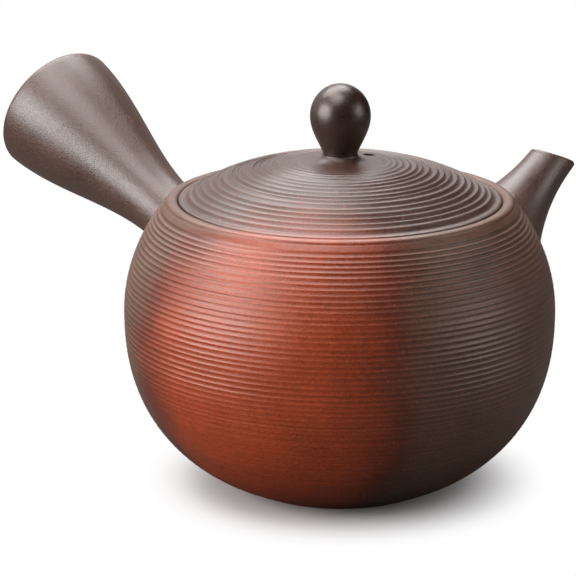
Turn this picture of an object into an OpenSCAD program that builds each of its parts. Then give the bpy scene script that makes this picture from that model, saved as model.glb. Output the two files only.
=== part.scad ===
// Side-handled kyusu teapot of unglazed stoneware, all sizes in millimetres.
// The foot ring's centre on the table is the origin, +Z is up,
// the spout points along +X and the handle along +Y.

/* [Body] */
// Outside diameter at the widest part of the belly
belly_d = 110; // [96:1:130]
// Height of the widest part above the table
belly_z = 45; // [38:0.5:52]
// Height of the shoulder where the collar starts
shoulder_z = 73.3; // [66:0.1:82]
// Fullness of the shoulder curve, 2 is an ellipse
shoulder_fullness = 2; // [1.8:0.05:2.4]
// Fullness of the lower curve, 2 is an ellipse
base_fullness = 2.3; // [2:0.05:2.7]
// Thickness of the thrown wall
wall = 3.2; // [2.6:0.1:4]
// Thickness of the floor above the foot hollow
floor_t = 4; // [2.6:0.1:5]
// Outside diameter of the foot ring
foot_d = 53; // [44:1:62]
// Height of the foot ring's outside
foot_h = 0.6; // [0.4:0.1:3]
// Width of the foot ring's flat face
foot_ring_w = 4.5; // [3:0.5:8]
// Depth of the hollow inside the foot ring
foot_hollow = 1; // [0.6:0.1:2]

/* [Collar] */
// Inside diameter of the collar that the lid lies in
gallery_d = 82; // [74:0.5:86]
// Depth of the ledge below the crest of the collar
gallery_depth = 2.4; // [1.8:0.1:3.6]
// Diameter of the mouth inside the ledge
mouth_d = 73; // [60:0.5:75]
// Thickness of the ledge
ledge_t = 3; // [2.4:0.1:4]
// Width of the rounded collar bead
bead_w = 3.2; // [2.4:0.1:4]
// Height of the bead above the shoulder
bead_h = 1.1; // [0.8:0.1:2]

/* [Comb ribs] */
// Number of ribs combed round the body
body_ribs = 31; // [14:1:36]
// Height of the lowest body rib
body_ribs_z = 31; // [26:0.5:40]
// Smooth band between the collar and the highest rib
body_band_w = 1.7; // [1:0.1:5]
// Depth of the body grooves
body_rib_depth = 0.25; // [0.15:0.05:0.6]
// Number of ribs combed on the lid
lid_ribs = 14; // [6:1:17]
// Diameter of the smooth middle of the lid
lid_smooth_d = 31; // [27:0.5:40]
// Depth of the lid grooves
lid_rib_depth = 0.3; // [0.15:0.05:0.6]

/* [Spout] */
// Height where the spout's axis meets the wall
spout_z = 51; // [44:0.5:54]
// Slope of the spout above level, in degrees
spout_slope = 39; // [34:0.2:50]
// Length along the axis, wall to tip
spout_len = 34; // [26:0.1:42]
// Outside diameter of the tip
tip_d = 12; // [10:0.1:16]
// Outside diameter where the axis meets the wall
spout_root_d = 33; // [28:0.5:37]
// How sharply the root flares, 1 is a straight cone
spout_flare = 2.15; // [1.5:0.05:2.6]
// Thickness of the spout's wall
spout_wall = 2.2; // [1.6:0.1:2.8]
// Slope of the tip's cut below level, in degrees
tip_slope = 22.6; // [10:0.2:40]
// Diameter of the hole through the body's wall
spout_hole_d = 17; // [12:0.5:19]
// Diameter of the smoothed land round the root
spout_land_d = 60; // [52:1:66]

/* [Handle] */
// Height where the handle's axis meets the wall
handle_z = 52.8; // [46:0.5:56]
// Slope of the handle above level, in degrees
handle_slope = 23.4; // [16:0.1:32]
// Length along the axis, wall to open end
handle_len = 67; // [56:0.5:84]
// Outside diameter where the axis meets the wall
handle_root_d = 19.8; // [16:0.2:24]
// Outside diameter of the open end
handle_end_d = 37; // [28:0.2:42]
// How strongly the sides draw in to a waist beyond the root
waist_ratio = 2; // [0.5:0.1:2.4]
// Slope of the sides at the open end, 0 runs straight along the axis
lip_ratio = 0.5; // [0:0.05:0.8]
// Thickness of the handle's wall at the open end
handle_wall = 3; // [2.2:0.1:3.8]
// Solid length at the root
handle_plug = 14; // [10:0.5:24]
// Diameter of the smoothed land round the root
handle_land_d = 40; // [32:1:48]

/* [Strainer] */
// Diameter of the dome where it meets the wall
strainer_d = 31; // [28:0.5:34]
// Height of the dome
strainer_rise = 11; // [8:0.5:14]
// Thickness of the dome
strainer_t = 2; // [1.5:0.1:2.6]
// Diameter of each hole
strainer_hole_d = 2; // [1.4:0.1:2.2]
// Rings of holes round the middle one
strainer_rings = 4; // [2:1:4]
// Plain border beyond the last ring, as a ratio to the space between rings
border_ratio = 2.2; // [2:0.1:3]

/* [Lid and knob] */
// Rise of the dome from rim to middle
dome_rise = 10; // [7:0.1:14]
// Fullness of the dome, 2 is a parabola
dome_fullness = 2.7; // [2:0.05:3.2]
// Thickness of the dome
lid_t = 3; // [2.4:0.1:3.6]
// Thickness of the rim above the ledge
lid_rim_t = 2; // [1.6:0.1:3]
// Depth of the flange below the ledge
flange_h = 9; // [6:0.5:12]
// Thickness of the flange
flange_t = 2.8; // [2:0.1:3.6]
// Diameter of the steam vent
vent_d = 3; // [2:0.1:3.6]
// Distance of the vent from the middle
vent_offset = 10.3; // [9.6:0.1:11]
// Widest diameter of the knob
knob_d = 15.3; // [12:0.1:18]
// Height of the knob
knob_h = 19.6; // [16:0.1:24]
// Height of the knob's widest part above its seat
knob_belly = 11.5; // [9:0.1:14]
// Diameter of the knob's neck
knob_neck_d = 8.8; // [7:0.1:9.8]
// Diameter of the knob's seat on the lid
knob_seat_d = 13; // [11:0.1:14]

/* [Fits] */
// Play round the lid's rim and flange
lid_play = 0.5; // [0.3:0.05:0.8]
// Thickness of the slip between luted pieces
slip = 0.05; // [0.03:0.01:0.1]

/* [Hidden] */
$fn = 96;
red_clay = [0.47, 0.22, 0.15];
grey_clay = [0.33, 0.27, 0.25];
inner_clay = [0.42, 0.26, 0.20];
dark_clay = [0.21, 0.16, 0.14];
smooth_angle = 4;
groove_steps = [0, 0.2, 0.5, 0.8];
// The comb's teeth part this far outside the wall, which leaves flat crests
crest_proud = 0.03;
// Cutters run past the faces that they open by this much
over = 1;

belly_r = belly_d / 2;
foot_r = foot_d / 2;
gallery_r = gallery_d / 2;
mouth_r = mouth_d / 2;
shoulder_r = gallery_r + bead_w;
crest_z = shoulder_z + bead_h;
ledge_z = crest_z - gallery_depth;
floor_z = foot_hollow + floor_t;
lid_r = gallery_r - lid_play;
lid_edge_z = ledge_z + lid_rim_t;
seat_z = lid_top(knob_seat_d / 2);
flange_r = mouth_r - lid_play;

// The wall is two quarter superellipses that share the belly's middle.
shoulder_b = (shoulder_z - belly_z)
  / pow(1 - pow(shoulder_r / belly_r, shoulder_fullness), 1 / shoulder_fullness);
base_b = (belly_z - foot_h) / pow(1 - pow(foot_r / belly_r, base_fullness), 1 / base_fullness);
shoulder_angle = atan2(shoulder_z - belly_z, shoulder_r);
foot_angle = atan2(foot_h - belly_z, foot_r);
ribs_low_angle = atan2(body_ribs_z - belly_z, wall_r(body_ribs_z));
ribs_high_angle = shoulder_angle - body_band_w / belly_r * 180 / PI;
rib_angle = (ribs_high_angle - ribs_low_angle) / body_ribs;
rib_pitch = (lid_r - lid_smooth_d / 2) / (lid_ribs + 0.5);

// Fullness and half height of the superellipse on the side of this angle
function fullness(angle) = angle < 0 ? base_fullness : shoulder_fullness;
function half_height(angle) = angle < 0 ? base_b : shoulder_b;

// Distance from the belly's middle to the wall's outside at an angle above level
function wall_reach(angle) =
  let (n = fullness(angle))
  pow(pow(cos(angle) / belly_r, n) + pow(abs(sin(angle)) / half_height(angle), n), -1 / n);

// Point [radius, height] that lies an inset inside the wall's outside
function wall_point(angle, inset) =
  [0, belly_z] + (wall_reach(angle) - inset) * [cos(angle), sin(angle)];

// Outside radius of the wall at a height
function wall_r(z) =
  let (side = z - belly_z, n = fullness(side))
  belly_r * pow(1 - pow(abs(side) / half_height(side), n), 1 / n);

// Smooth run of wall points between two angles
function wall_run(from, to, inset) =
  let (steps = max(1, ceil(abs(to - from) / smooth_angle)))
  [for (i = [0 : steps]) wall_point(from + (to - from) * i / steps, inset)];

// Scalloped groove, full depth in the middle and nothing at its two crests
function groove(u, depth) = depth * 4 * u * (1 - u);

// Outer skin of the lid's dome at a radius
function lid_top(r) = lid_edge_z + dome_rise * (1 - pow(r / lid_r, dome_fullness));

// Arc of points round a centre
function arc(centre, rx, ry, from, to, steps) =
  [for (i = [0 : steps])
    let (a = from + (to - from) * i / steps)
    centre + [rx * cos(a), ry * sin(a)]];

// Places a child whose own +Z becomes the axis of a root in the XZ plane
module at_root(z, slope) {
  translate([wall_r(z), 0, z]) rotate([0, 90 - slope, 0]) children();
}

module at_handle() {
  rotate([0, 0, 90]) at_root(handle_z, handle_slope) children();
}

// Solid inside the wall's smooth skin, moved in by an inset
module wall_solid(inset) {
  points = wall_run(foot_angle, shoulder_angle, inset);
  last = len(points) - 1;
  rotate_extrude()
    polygon(concat([[0, points[0].y]], points, [[0, points[last].y]]));
}

// Outside of the body with its foot ring and collar bead, before it is combed
module smooth_solid() {
  foot = [
    [0, foot_hollow], [foot_r - foot_ring_w, foot_hollow],
    [foot_r - foot_ring_w, 0], [foot_r, 0]
  ];
  side = concat(
    wall_run(foot_angle, ribs_low_angle, 0),
    [for (k = [1 : body_ribs - 1]) wall_point(ribs_low_angle + k * rib_angle, 0)],
    wall_run(ribs_high_angle, shoulder_angle, 0)
  );
  bead_z = shoulder_z + bead_h / 3;
  bead = arc([gallery_r + bead_w / 2, bead_z], bead_w / 2, crest_z - bead_z, 0, 180, 10);
  rotate_extrude()
    polygon(concat(foot, side, bead, [[0, bead_z]]));
}

// Rings that the comb's teeth take off the wall
module comb_rings() {
  depth = body_rib_depth + crest_proud;
  grooves = [for (k = [0 : body_ribs - 1], u = groove_steps)
    wall_point(ribs_low_angle + (k + u) * rib_angle, groove(u, depth) - crest_proud)];
  rotate_extrude()
    polygon(concat(
      grooves,
      [wall_point(ribs_high_angle, -crest_proud)],
      wall_run(ribs_high_angle, ribs_low_angle, -over)
    ));
}

// Hollow of the pot, its mouth and the gallery for the lid
module inside_space() {
  ceiling_z = ledge_z - ledge_t;
  hollow = [for (p = wall_run(foot_angle, shoulder_angle, wall)) if (p.y > floor_z && p.y < ceiling_z) p];
  last = len(hollow) - 1;
  top_z = crest_z + over;
  rotate_extrude()
    polygon(concat(
      [[0, floor_z], [hollow[0].x - floor_t, floor_z]],
      hollow,
      [[hollow[last].x, ceiling_z], [mouth_r, ceiling_z], [mouth_r, ledge_z]],
      [[gallery_r, ledge_z], [gallery_r, top_z], [0, top_z]]
    ));
}

// Cores round the two roots, where the wall is smoothed and left uncombed
module land_cores() {
  at_root(spout_z, spout_slope) cylinder(d = spout_land_d, h = belly_r, center = true);
  at_handle() cylinder(d = handle_land_d, h = belly_r, center = true);
}

module body() {
  color(red_clay) difference() {
    smooth_solid();
    difference() {
      comb_rings();
      land_cores();
    }
    inside_space();
    at_root(spout_z, spout_slope) cylinder(d = spout_hole_d, h = spout_root_d, center = true);
  }
}

// Outside radius of the spout at a distance below its tip
function spout_r(u) =
  (tip_d + (spout_root_d - tip_d) * pow(min(u, spout_len) / spout_len, spout_flare)) / 2;

// Revolved spout along its own axis, moved in by an inset
module spout_solid(inset, top) {
  depth = spout_len + spout_root_d;
  step = spout_len / 8;
  points = [for (u = [-top : step : depth]) [spout_r(max(u, 0)) - inset, spout_len - u]];
  last = len(points) - 1;
  rotate_extrude()
    polygon(concat([[0, points[0].y]], points, [[0, points[last].y]]));
}

module spout() {
  color(grey_clay) difference() {
    at_root(spout_z, spout_slope) difference() {
      spout_solid(0, tip_d);
      spout_solid(spout_wall, tip_d + over);
      translate([0, 0, spout_len]) rotate([0, tip_slope + spout_slope - 90, 0])
        translate([0, 0, spout_len]) cube(2 * spout_len, center = true);
    }
    wall_solid(-slip);
  }
}

// Outside radius of the handle at a share of its length, a cubic with set end slopes
function handle_r(t) =
  let (
    swell = t * t * (3 - 2 * t),
    waist = t * (1 - t) * (1 - t) * waist_ratio,
    lip = t * t * (t - 1) * lip_ratio
  )
  (handle_root_d + (handle_end_d - handle_root_d) * (swell - waist + lip)) / 2;

module handle() {
  steps = 14;
  rim_r = handle_wall / 2;
  side_len = handle_len - rim_r;
  hollow_start = handle_plug / side_len;
  side = [for (i = [0 : steps]) [handle_r(i / steps), side_len * i / steps]];
  rim = arc([handle_end_d / 2 - rim_r, side_len], rim_r, rim_r, 0, 180, 8);
  bore = [for (i = [steps - 1 : -1 : 0])
    let (t = hollow_start + (1 - hollow_start) * i / steps)
    [handle_r(t) - handle_wall, side_len * t]];
  color(grey_clay) difference() {
    at_handle() rotate_extrude()
      polygon(concat(
        [[0, -handle_root_d], [handle_root_d / 2, -handle_root_d]],
        side, rim, bore, [[0, handle_plug]]
      ));
    wall_solid(-slip);
  }
}

module strainer() {
  // Where the spout's axis comes through the inside of the wall
  hole_z = spout_z - wall * tan(spout_slope);
  foot_x = wall_r(hole_z) - wall;
  dome = (strainer_d * strainer_d / 4 + strainer_rise * strainer_rise) / (2 * strainer_rise);
  spread = asin(strainer_d / 2 / dome);
  ring_angle = spread / (strainer_rings + border_ratio);
  color(inner_clay) intersection() {
    wall_solid(wall + slip);
    translate([foot_x + dome - strainer_rise, 0, hole_z]) rotate([0, -90, 0]) difference() {
      sphere(dome);
      sphere(dome - strainer_t);
      for (ring = [0 : strainer_rings], k = [0 : max(0, 6 * ring - 1)])
        rotate([0, 0, 60 * k / max(1, ring)]) rotate([0, ring * ring_angle, 0])
          translate([0, 0, dome - 2 * strainer_t]) cylinder(d = strainer_hole_d, h = 3 * strainer_t);
    }
  }
}

module lid() {
  seat_r = knob_seat_d / 2;
  smooth_r = lid_smooth_d / 2;
  ribs_r = smooth_r + lid_ribs * rib_pitch;
  middle = [for (i = [0 : 3]) let (r = seat_r + (smooth_r - seat_r) * i / 3) [r, lid_top(r)]];
  ribs = [for (k = [0 : lid_ribs - 1], u = groove_steps)
    let (r = smooth_r + (k + u) * rib_pitch)
    if (k + u > 0) [r, lid_top(r) - groove(u, lid_rib_depth)]];
  rim = [[ribs_r, lid_top(ribs_r)], [lid_r, lid_edge_z - lid_rim_t / 4], [lid_r, ledge_z]];
  flange = [
    [flange_r, ledge_z], [flange_r, ledge_z - flange_h],
    [flange_r - flange_t, ledge_z - flange_h]
  ];
  inner_r = flange_r - flange_t;
  under = [for (i = [6 : -1 : 1]) let (r = inner_r * i / 6) [r, lid_top(r) - lid_t]];
  color(red_clay) difference() {
    rotate_extrude()
      polygon(concat([[0, seat_z]], middle, ribs, rim, flange, under, [[0, lid_top(0) - lid_t]]));
    translate([vent_offset, 0, seat_z]) cylinder(d = vent_d, h = 4 * lid_t, center = true);
  }
}

module knob() {
  belly = [0, knob_belly];
  neck_z = (knob_seat_d - knob_neck_d) / 2;
  neck_r = knob_neck_d / 2;
  foot = arc([knob_seat_d / 2, neck_z], neck_z, neck_z, 270, 180, 4);
  taper = [for (i = [1 : 7])
    let (t = i / 8)
    [neck_r + (knob_d / 2 - neck_r) * sin(90 * t), neck_z + (knob_belly - neck_z) * t]];
  crown = arc(belly, knob_d / 2, knob_h - knob_belly, 0, 90, 12);
  color(dark_clay) translate([0, 0, seat_z]) rotate_extrude()
    polygon(concat([[0, 0]], foot, taper, crown));
}

body();
spout();
handle();
strainer();
lid();
knob();
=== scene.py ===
"""Side-handled kyusu teapot of unglazed stoneware, dressed over its CAD frame.

Sizes are in millimetres in the classes and become metres when a mesh is made.
The foot ring's centre is the origin, the spout points along +X and the handle along +Y.
"""

import logging
import math
from collections.abc import Callable, Iterable
from dataclasses import dataclass, field, replace
from enum import Enum

import bmesh
import bpy
import numpy as np
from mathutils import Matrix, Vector


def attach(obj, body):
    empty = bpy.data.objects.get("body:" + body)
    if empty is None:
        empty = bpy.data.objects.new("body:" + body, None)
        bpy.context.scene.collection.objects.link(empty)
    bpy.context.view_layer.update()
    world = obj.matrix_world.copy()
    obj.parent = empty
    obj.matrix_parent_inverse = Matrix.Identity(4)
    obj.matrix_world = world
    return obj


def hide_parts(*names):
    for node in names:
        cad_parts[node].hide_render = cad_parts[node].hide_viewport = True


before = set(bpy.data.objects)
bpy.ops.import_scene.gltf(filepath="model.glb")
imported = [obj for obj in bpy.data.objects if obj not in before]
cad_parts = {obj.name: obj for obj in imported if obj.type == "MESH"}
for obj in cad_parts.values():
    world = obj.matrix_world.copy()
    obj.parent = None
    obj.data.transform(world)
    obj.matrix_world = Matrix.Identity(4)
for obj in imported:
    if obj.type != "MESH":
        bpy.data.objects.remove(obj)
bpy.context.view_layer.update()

LOG = logging.getLogger("kyusu")
MM = 0.001
FULL_TURN = 2.0 * math.pi
QUARTER_TURN = math.pi / 2.0
DRILL_SIDES = 64
POT_MIDDLE = (0.0, 0.0, 0.05)
WHITE = (1.0, 1.0, 1.0, 1.0)

# Point attribute of the comb marks, and the marks of a crest, of plain clay and of a corner. The finishes paint a
# highlight on high marks and shade on low ones, so the corner's mark paints shade into corners.
COMB = "comb"
CREST_COMB = 1.0
SMOOTH_COMB = 0.4
SHADED_CORNER_COMB = 0.1


class CadBody(Enum):
    """Bodies of the CAD frame that a piece can ride on."""

    POT = "pot"
    LID = "lid"


class Slot(Enum):
    """Material slots of the record."""

    RED = "red_clay"
    GREY = "grey_clay"
    INNER = "inner_clay"
    DARK = "dark_clay"


def smoothstep(low: float, high: float, value: np.ndarray) -> np.ndarray:
    """Soft step between two values.

    Args:
        low: Value where the step starts.
        high: Value where the step is full.
        value: Values to place on the step.

    Returns:
        Shares from 0 to 1.
    """
    share = np.clip((value - low) / (high - low), 0.0, 1.0)
    return share * share * (3.0 - 2.0 * share)


def unit(vectors: np.ndarray) -> np.ndarray:
    """Rows of a table of vectors, each brought to length 1."""
    return vectors / np.linalg.norm(vectors, axis=-1, keepdims=True)


def turned(turn: np.ndarray, radius: np.ndarray | float, height: np.ndarray | float) -> np.ndarray:
    """Points of a ring about the Z axis.

    Args:
        turn: Angles round the axis, in radians.
        radius: Distances from the axis, or one for all the points.
        height: Heights above the table, or one for all the points.

    Returns:
        One row of x, y and z for each angle.
    """
    return np.stack([radius * np.cos(turn), radius * np.sin(turn), np.broadcast_to(height, turn.shape)], axis=1)


def put(name: str, data: bpy.types.ID) -> bpy.types.Object:
    """Makes an object and links it to the scene.

    Args:
        name: Name of the object.
        data: Mesh, lamp or camera that it holds.

    Returns:
        The object.
    """
    obj = bpy.data.objects.new(name, data)
    bpy.context.scene.collection.objects.link(obj)
    return obj


@dataclass
class RingSkin:
    """Closed skin made of rings of points, each joined to the next by quads.

    Attributes:
        name: Name of the object that the skin becomes.
        around: Points in each ring.
        rings: Rings of points in millimetres, in order along the skin.
        combs: Comb mark of each ring's points, 1 on a crest and 0 in a groove.
    """

    name: str
    around: int
    rings: list[np.ndarray] = field(default_factory=list)
    combs: list[np.ndarray] = field(default_factory=list)

    def turns(self) -> np.ndarray:
        """Angles of the points round a ring, in radians."""
        return np.arange(self.around) * (FULL_TURN / self.around)

    def add(self, points: np.ndarray, comb: np.ndarray | float = SMOOTH_COMB) -> None:
        """Adds a ring.

        Args:
            points: One row of x, y and z for each point of the ring.
            comb: Comb marks of the points, or one mark for all of them.
        """
        self.rings.append(np.asarray(points, dtype=float))
        self.combs.append(np.broadcast_to(np.asarray(comb, dtype=float), (self.around,)))

    def add_turned(self, radius: float, height: float, comb: float = SMOOTH_COMB) -> None:
        """Adds a flat ring about the Z axis.

        Args:
            radius: Radius of the ring.
            height: Height of the ring above the table.
            comb: Comb mark of the ring.
        """
        self.add(turned(self.turns(), radius, height), comb)

    def add_profile(self, profile: Iterable[tuple[float, float]], comb: float = SMOOTH_COMB) -> None:
        """Adds flat rings about the Z axis.

        Args:
            profile: Radius and height of each ring.
            comb: Comb mark of the rings.
        """
        for radius, height in profile:
            self.add_turned(radius, height, comb)

    def build(self) -> bpy.types.Object:
        """Makes the mesh, with a point at each end that closes it.

        Returns:
            The new object, linked to the scene.
        """
        count = len(self.rings)
        poles = [self.rings[0].mean(axis=0)[None], self.rings[-1].mean(axis=0)[None]]
        points = np.concatenate(self.rings + poles)
        marks = np.concatenate(self.combs + [self.combs[0][:1], self.combs[-1][:1]])
        first_pole, last_pole = count * self.around, count * self.around + 1
        here = np.arange(self.around)
        after = (here + 1) % self.around
        faces: list[list[int]] = [[first_pole, int(b), int(a)] for a, b in zip(here, after)]
        for row in range(count - 1):
            low, high = row * self.around, (row + 1) * self.around
            faces += np.stack([low + here, low + after, high + after, high + here], axis=1).tolist()
        top = (count - 1) * self.around
        faces += [[last_pole, int(top + a), int(top + b)] for a, b in zip(here, after)]
        mesh = bpy.data.meshes.new(self.name)
        mesh.from_pydata((points * MM).tolist(), [], faces)
        mesh.attributes.new(COMB, "FLOAT", "POINT").data.foreach_set("value", marks.astype(np.float32))
        work = bmesh.new()
        work.from_mesh(mesh)
        bmesh.ops.recalc_face_normals(work, faces=work.faces)
        work.to_mesh(mesh)
        work.free()
        mesh.shade_smooth()
        return put(self.name, mesh)


@dataclass(frozen=True)
class WallCurve:
    """Outside of the thrown wall: two quarter superellipses that share the belly's middle.

    Attributes:
        belly_r: Radius of the belly.
        belly_z: Height of the belly's middle.
        shoulder_r: Radius where the wall ends at the collar.
        shoulder_z: Height where the wall ends at the collar.
        shoulder_fullness: Power of the curve above the belly.
        base_fullness: Power of the curve below the belly.
        foot_r: Radius where the wall meets the foot ring.
        foot_h: Height where the wall meets the foot ring.
        probe: Step that the slope of the wall is measured over.
    """

    belly_r: float = 55.0
    belly_z: float = 45.0
    shoulder_r: float = 44.2
    shoulder_z: float = 73.3
    shoulder_fullness: float = 2.0
    base_fullness: float = 2.3
    foot_r: float = 26.5
    foot_h: float = 0.6
    probe: float = 0.05

    def half_height(self, above: bool) -> float:
        """Half height of the curve above or below the belly's middle.

        Args:
            above: True for the curve above it.

        Returns:
            The half height in millimetres.
        """
        if above:
            fullness, rise, radius = self.shoulder_fullness, self.shoulder_z - self.belly_z, self.shoulder_r
        else:
            fullness, rise, radius = self.base_fullness, self.belly_z - self.foot_h, self.foot_r
        return rise / (1.0 - (radius / self.belly_r) ** fullness) ** (1.0 / fullness)

    def reach(self, angle: np.ndarray) -> np.ndarray:
        """Distance from the belly's middle to the wall.

        Args:
            angle: Angles above level at the belly's middle, in radians.

        Returns:
            Distances in millimetres.
        """
        above = np.sin(angle) >= 0.0
        fullness = np.where(above, self.shoulder_fullness, self.base_fullness)
        half = np.where(above, self.half_height(True), self.half_height(False))
        level = np.abs(np.cos(angle)) / self.belly_r
        upright = np.abs(np.sin(angle)) / half
        return (level**fullness + upright**fullness) ** (-1.0 / fullness)

    def radius(self, height: float) -> float:
        """Outside radius of the wall.

        Args:
            height: Height above the table.

        Returns:
            The radius in millimetres.
        """
        above = height >= self.belly_z
        fullness = self.shoulder_fullness if above else self.base_fullness
        share = abs(height - self.belly_z) / self.half_height(above)
        return self.belly_r * (1.0 - share**fullness) ** (1.0 / fullness)

    def angle_at(self, height: float) -> float:
        """Angle above level of the wall's point at a height, in radians."""
        return math.atan2(height - self.belly_z, self.radius(height))

    def top_angle(self) -> float:
        """Angle above level of the wall's end at the collar, in radians."""
        return math.atan2(self.shoulder_z - self.belly_z, self.shoulder_r)

    def polar(self, angle: np.ndarray, inset: np.ndarray | float) -> tuple[np.ndarray, np.ndarray]:
        """Radius and height of points an inset inside the wall's outside."""
        reach = self.reach(angle) - inset
        return reach * np.cos(angle), self.belly_z + reach * np.sin(angle)

    def gap(self, points: np.ndarray) -> np.ndarray:
        """Distance of points outside the wall, measured from the belly's middle.

        Args:
            points: One row of x, y and z for each point.

        Returns:
            One distance for each point, less than 0 inside.
        """
        across = np.linalg.norm(points[:, :2], axis=1)
        above = points[:, 2] - self.belly_z
        return np.hypot(across, above) - self.reach(np.arctan2(above, across))

    def drop(self, points: np.ndarray, sink: float) -> np.ndarray:
        """Points moved onto the wall, towards the belly's middle.

        Args:
            points: Points near the wall.
            sink: How far below the wall's skin they end.

        Returns:
            The moved points.
        """
        middle = np.array([0.0, 0.0, self.belly_z])
        away = unit(points - middle)
        return points - away * (self.gap(points) + sink)[:, None]

    def normal(self, points: np.ndarray) -> np.ndarray:
        """Outward normals of the wall near points."""
        steps = self.probe * np.eye(3)
        return unit(np.stack([self.gap(points + step) - self.gap(points - step) for step in steps], axis=1))


WALL = WallCurve()


@dataclass(frozen=True)
class Root:
    """Place where a spout or handle is luted to the wall.

    Attributes:
        height: Height where the axis meets the wall.
        rise: Rise of the axis above level, in degrees.
        bearing: Direction of the axis seen from above, in degrees from +X.
    """

    height: float
    rise: float
    bearing: float

    def start(self) -> np.ndarray:
        """Point where the axis meets the wall.

        Returns:
            Its x, y and z in millimetres.
        """
        turn = math.radians(self.bearing)
        radius = WALL.radius(self.height)
        return np.array([radius * math.cos(turn), radius * math.sin(turn), self.height])

    def axes(self) -> tuple[np.ndarray, np.ndarray, np.ndarray]:
        """Directions of the root.

        Returns:
            Unit vectors along the axis, beside it and above it.
        """
        turn, rise = math.radians(self.bearing), math.radians(self.rise)
        along = np.array([math.cos(rise) * math.cos(turn), math.cos(rise) * math.sin(turn), math.sin(rise)])
        beside = np.array([-math.sin(turn), math.cos(turn), 0.0])
        return along, beside, np.cross(along, beside)

    def off_axis(self, points: np.ndarray) -> np.ndarray:
        """Distances of points from the root's axis.

        Args:
            points: One row of x, y and z for each point.

        Returns:
            One distance for each point, far away for points on the pot's other side.
        """
        along = self.axes()[0]
        offset = points - self.start()
        beyond = offset @ along
        away = np.linalg.norm(offset - beyond[:, None] * along, axis=1)
        far_away = 10.0 * WALL.belly_r
        return np.where(beyond < -WALL.belly_r, far_away, away)

    def place(self, turn: np.ndarray, radius: np.ndarray | float, along: np.ndarray | float) -> np.ndarray:
        """Points round the axis.

        Args:
            turn: Angles round the axis, in radians.
            radius: Distances from the axis, or one for all the points.
            along: Distances along the axis from the wall, or one for all the points.

        Returns:
            One row of x, y and z for each angle.
        """
        axis, beside, above = self.axes()
        spoke = np.cos(turn)[:, None] * beside + np.sin(turn)[:, None] * above
        return self.start() + np.asarray(along)[..., None] * axis + np.asarray(radius)[..., None] * spoke


SPOUT_ROOT = Root(height=51.0, rise=39.0, bearing=0.0)
HANDLE_ROOT = Root(height=52.8, rise=23.4, bearing=90.0)


@dataclass
class LutedTube:
    """A thrown tube that is luted on the wall, with the clay smoothed into a fillet.

    Attributes:
        root: Where the tube stands.
        around: Points round the tube.
        fillet_up: Length of the fillet on the tube.
        fillet_out: Length of the fillet on the wall.
        fillet_rows: Rings in the fillet.
        sink: How far the fillet's edge goes below the wall's skin.
        under_sink: How far the hidden seat goes below the wall's skin.
        search: Longest distance along the axis where the wall is looked for.
        halvings: Times that this distance is halved.
    """

    root: Root
    around: int = 144
    fillet_up: float = 5.0
    fillet_out: float = 5.0
    fillet_rows: int = 10
    sink: float = 0.08
    under_sink: float = 0.32
    search: float = 25.0
    halvings: int = 40

    def outside(self, along: np.ndarray) -> np.ndarray:
        """Outside radius at distances along the axis from the wall."""
        raise NotImplementedError

    def meet_wall(self, turn: np.ndarray, outline: Callable[[np.ndarray], np.ndarray]) -> np.ndarray:
        """Distances along the axis where an outline goes into the wall.

        Args:
            turn: Angles round the axis.
            outline: Gives the radius at distances along the axis.

        Returns:
            One distance for each angle.
        """
        low = np.full(turn.shape, -self.search)
        high = np.full(turn.shape, self.search)
        for _ in range(self.halvings):
            middle = (low + high) / 2.0
            outside = WALL.gap(self.root.place(turn, outline(middle), middle)) > 0.0
            high = np.where(outside, middle, high)
            low = np.where(outside, low, middle)
        return (low + high) / 2.0

    def fillet(self, skin: RingSkin, turn: np.ndarray) -> np.ndarray:
        """Adds the fillet's rings, from the tube out to the wall.

        Args:
            skin: Skin that gets the rings.
            turn: Angles round the axis.

        Returns:
            The last ring, on the wall.
        """
        meet = self.meet_wall(turn, self.outside)
        corner = self.root.place(turn, self.outside(meet), meet)
        upper_at = meet + self.fillet_up
        upper = self.root.place(turn, self.outside(upper_at), upper_at)
        ring_way = np.roll(corner, -1, axis=0) - np.roll(corner, 1, axis=0)
        outward = unit(np.cross(ring_way, WALL.normal(corner)))
        away = corner - self.root.start()
        outward *= np.sign(np.sum(outward * away, axis=1))[:, None]
        lower = WALL.drop(corner + outward * self.fillet_out, 0.0)
        for row in range(1, self.fillet_rows + 1):
            share = row / self.fillet_rows
            ring = (1 - share) ** 2 * upper + 2 * share * (1 - share) * corner + share**2 * lower
            if row == self.fillet_rows:
                ring = WALL.drop(ring, self.sink)
            skin.add(ring)
        return skin.rings[-1]


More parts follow.
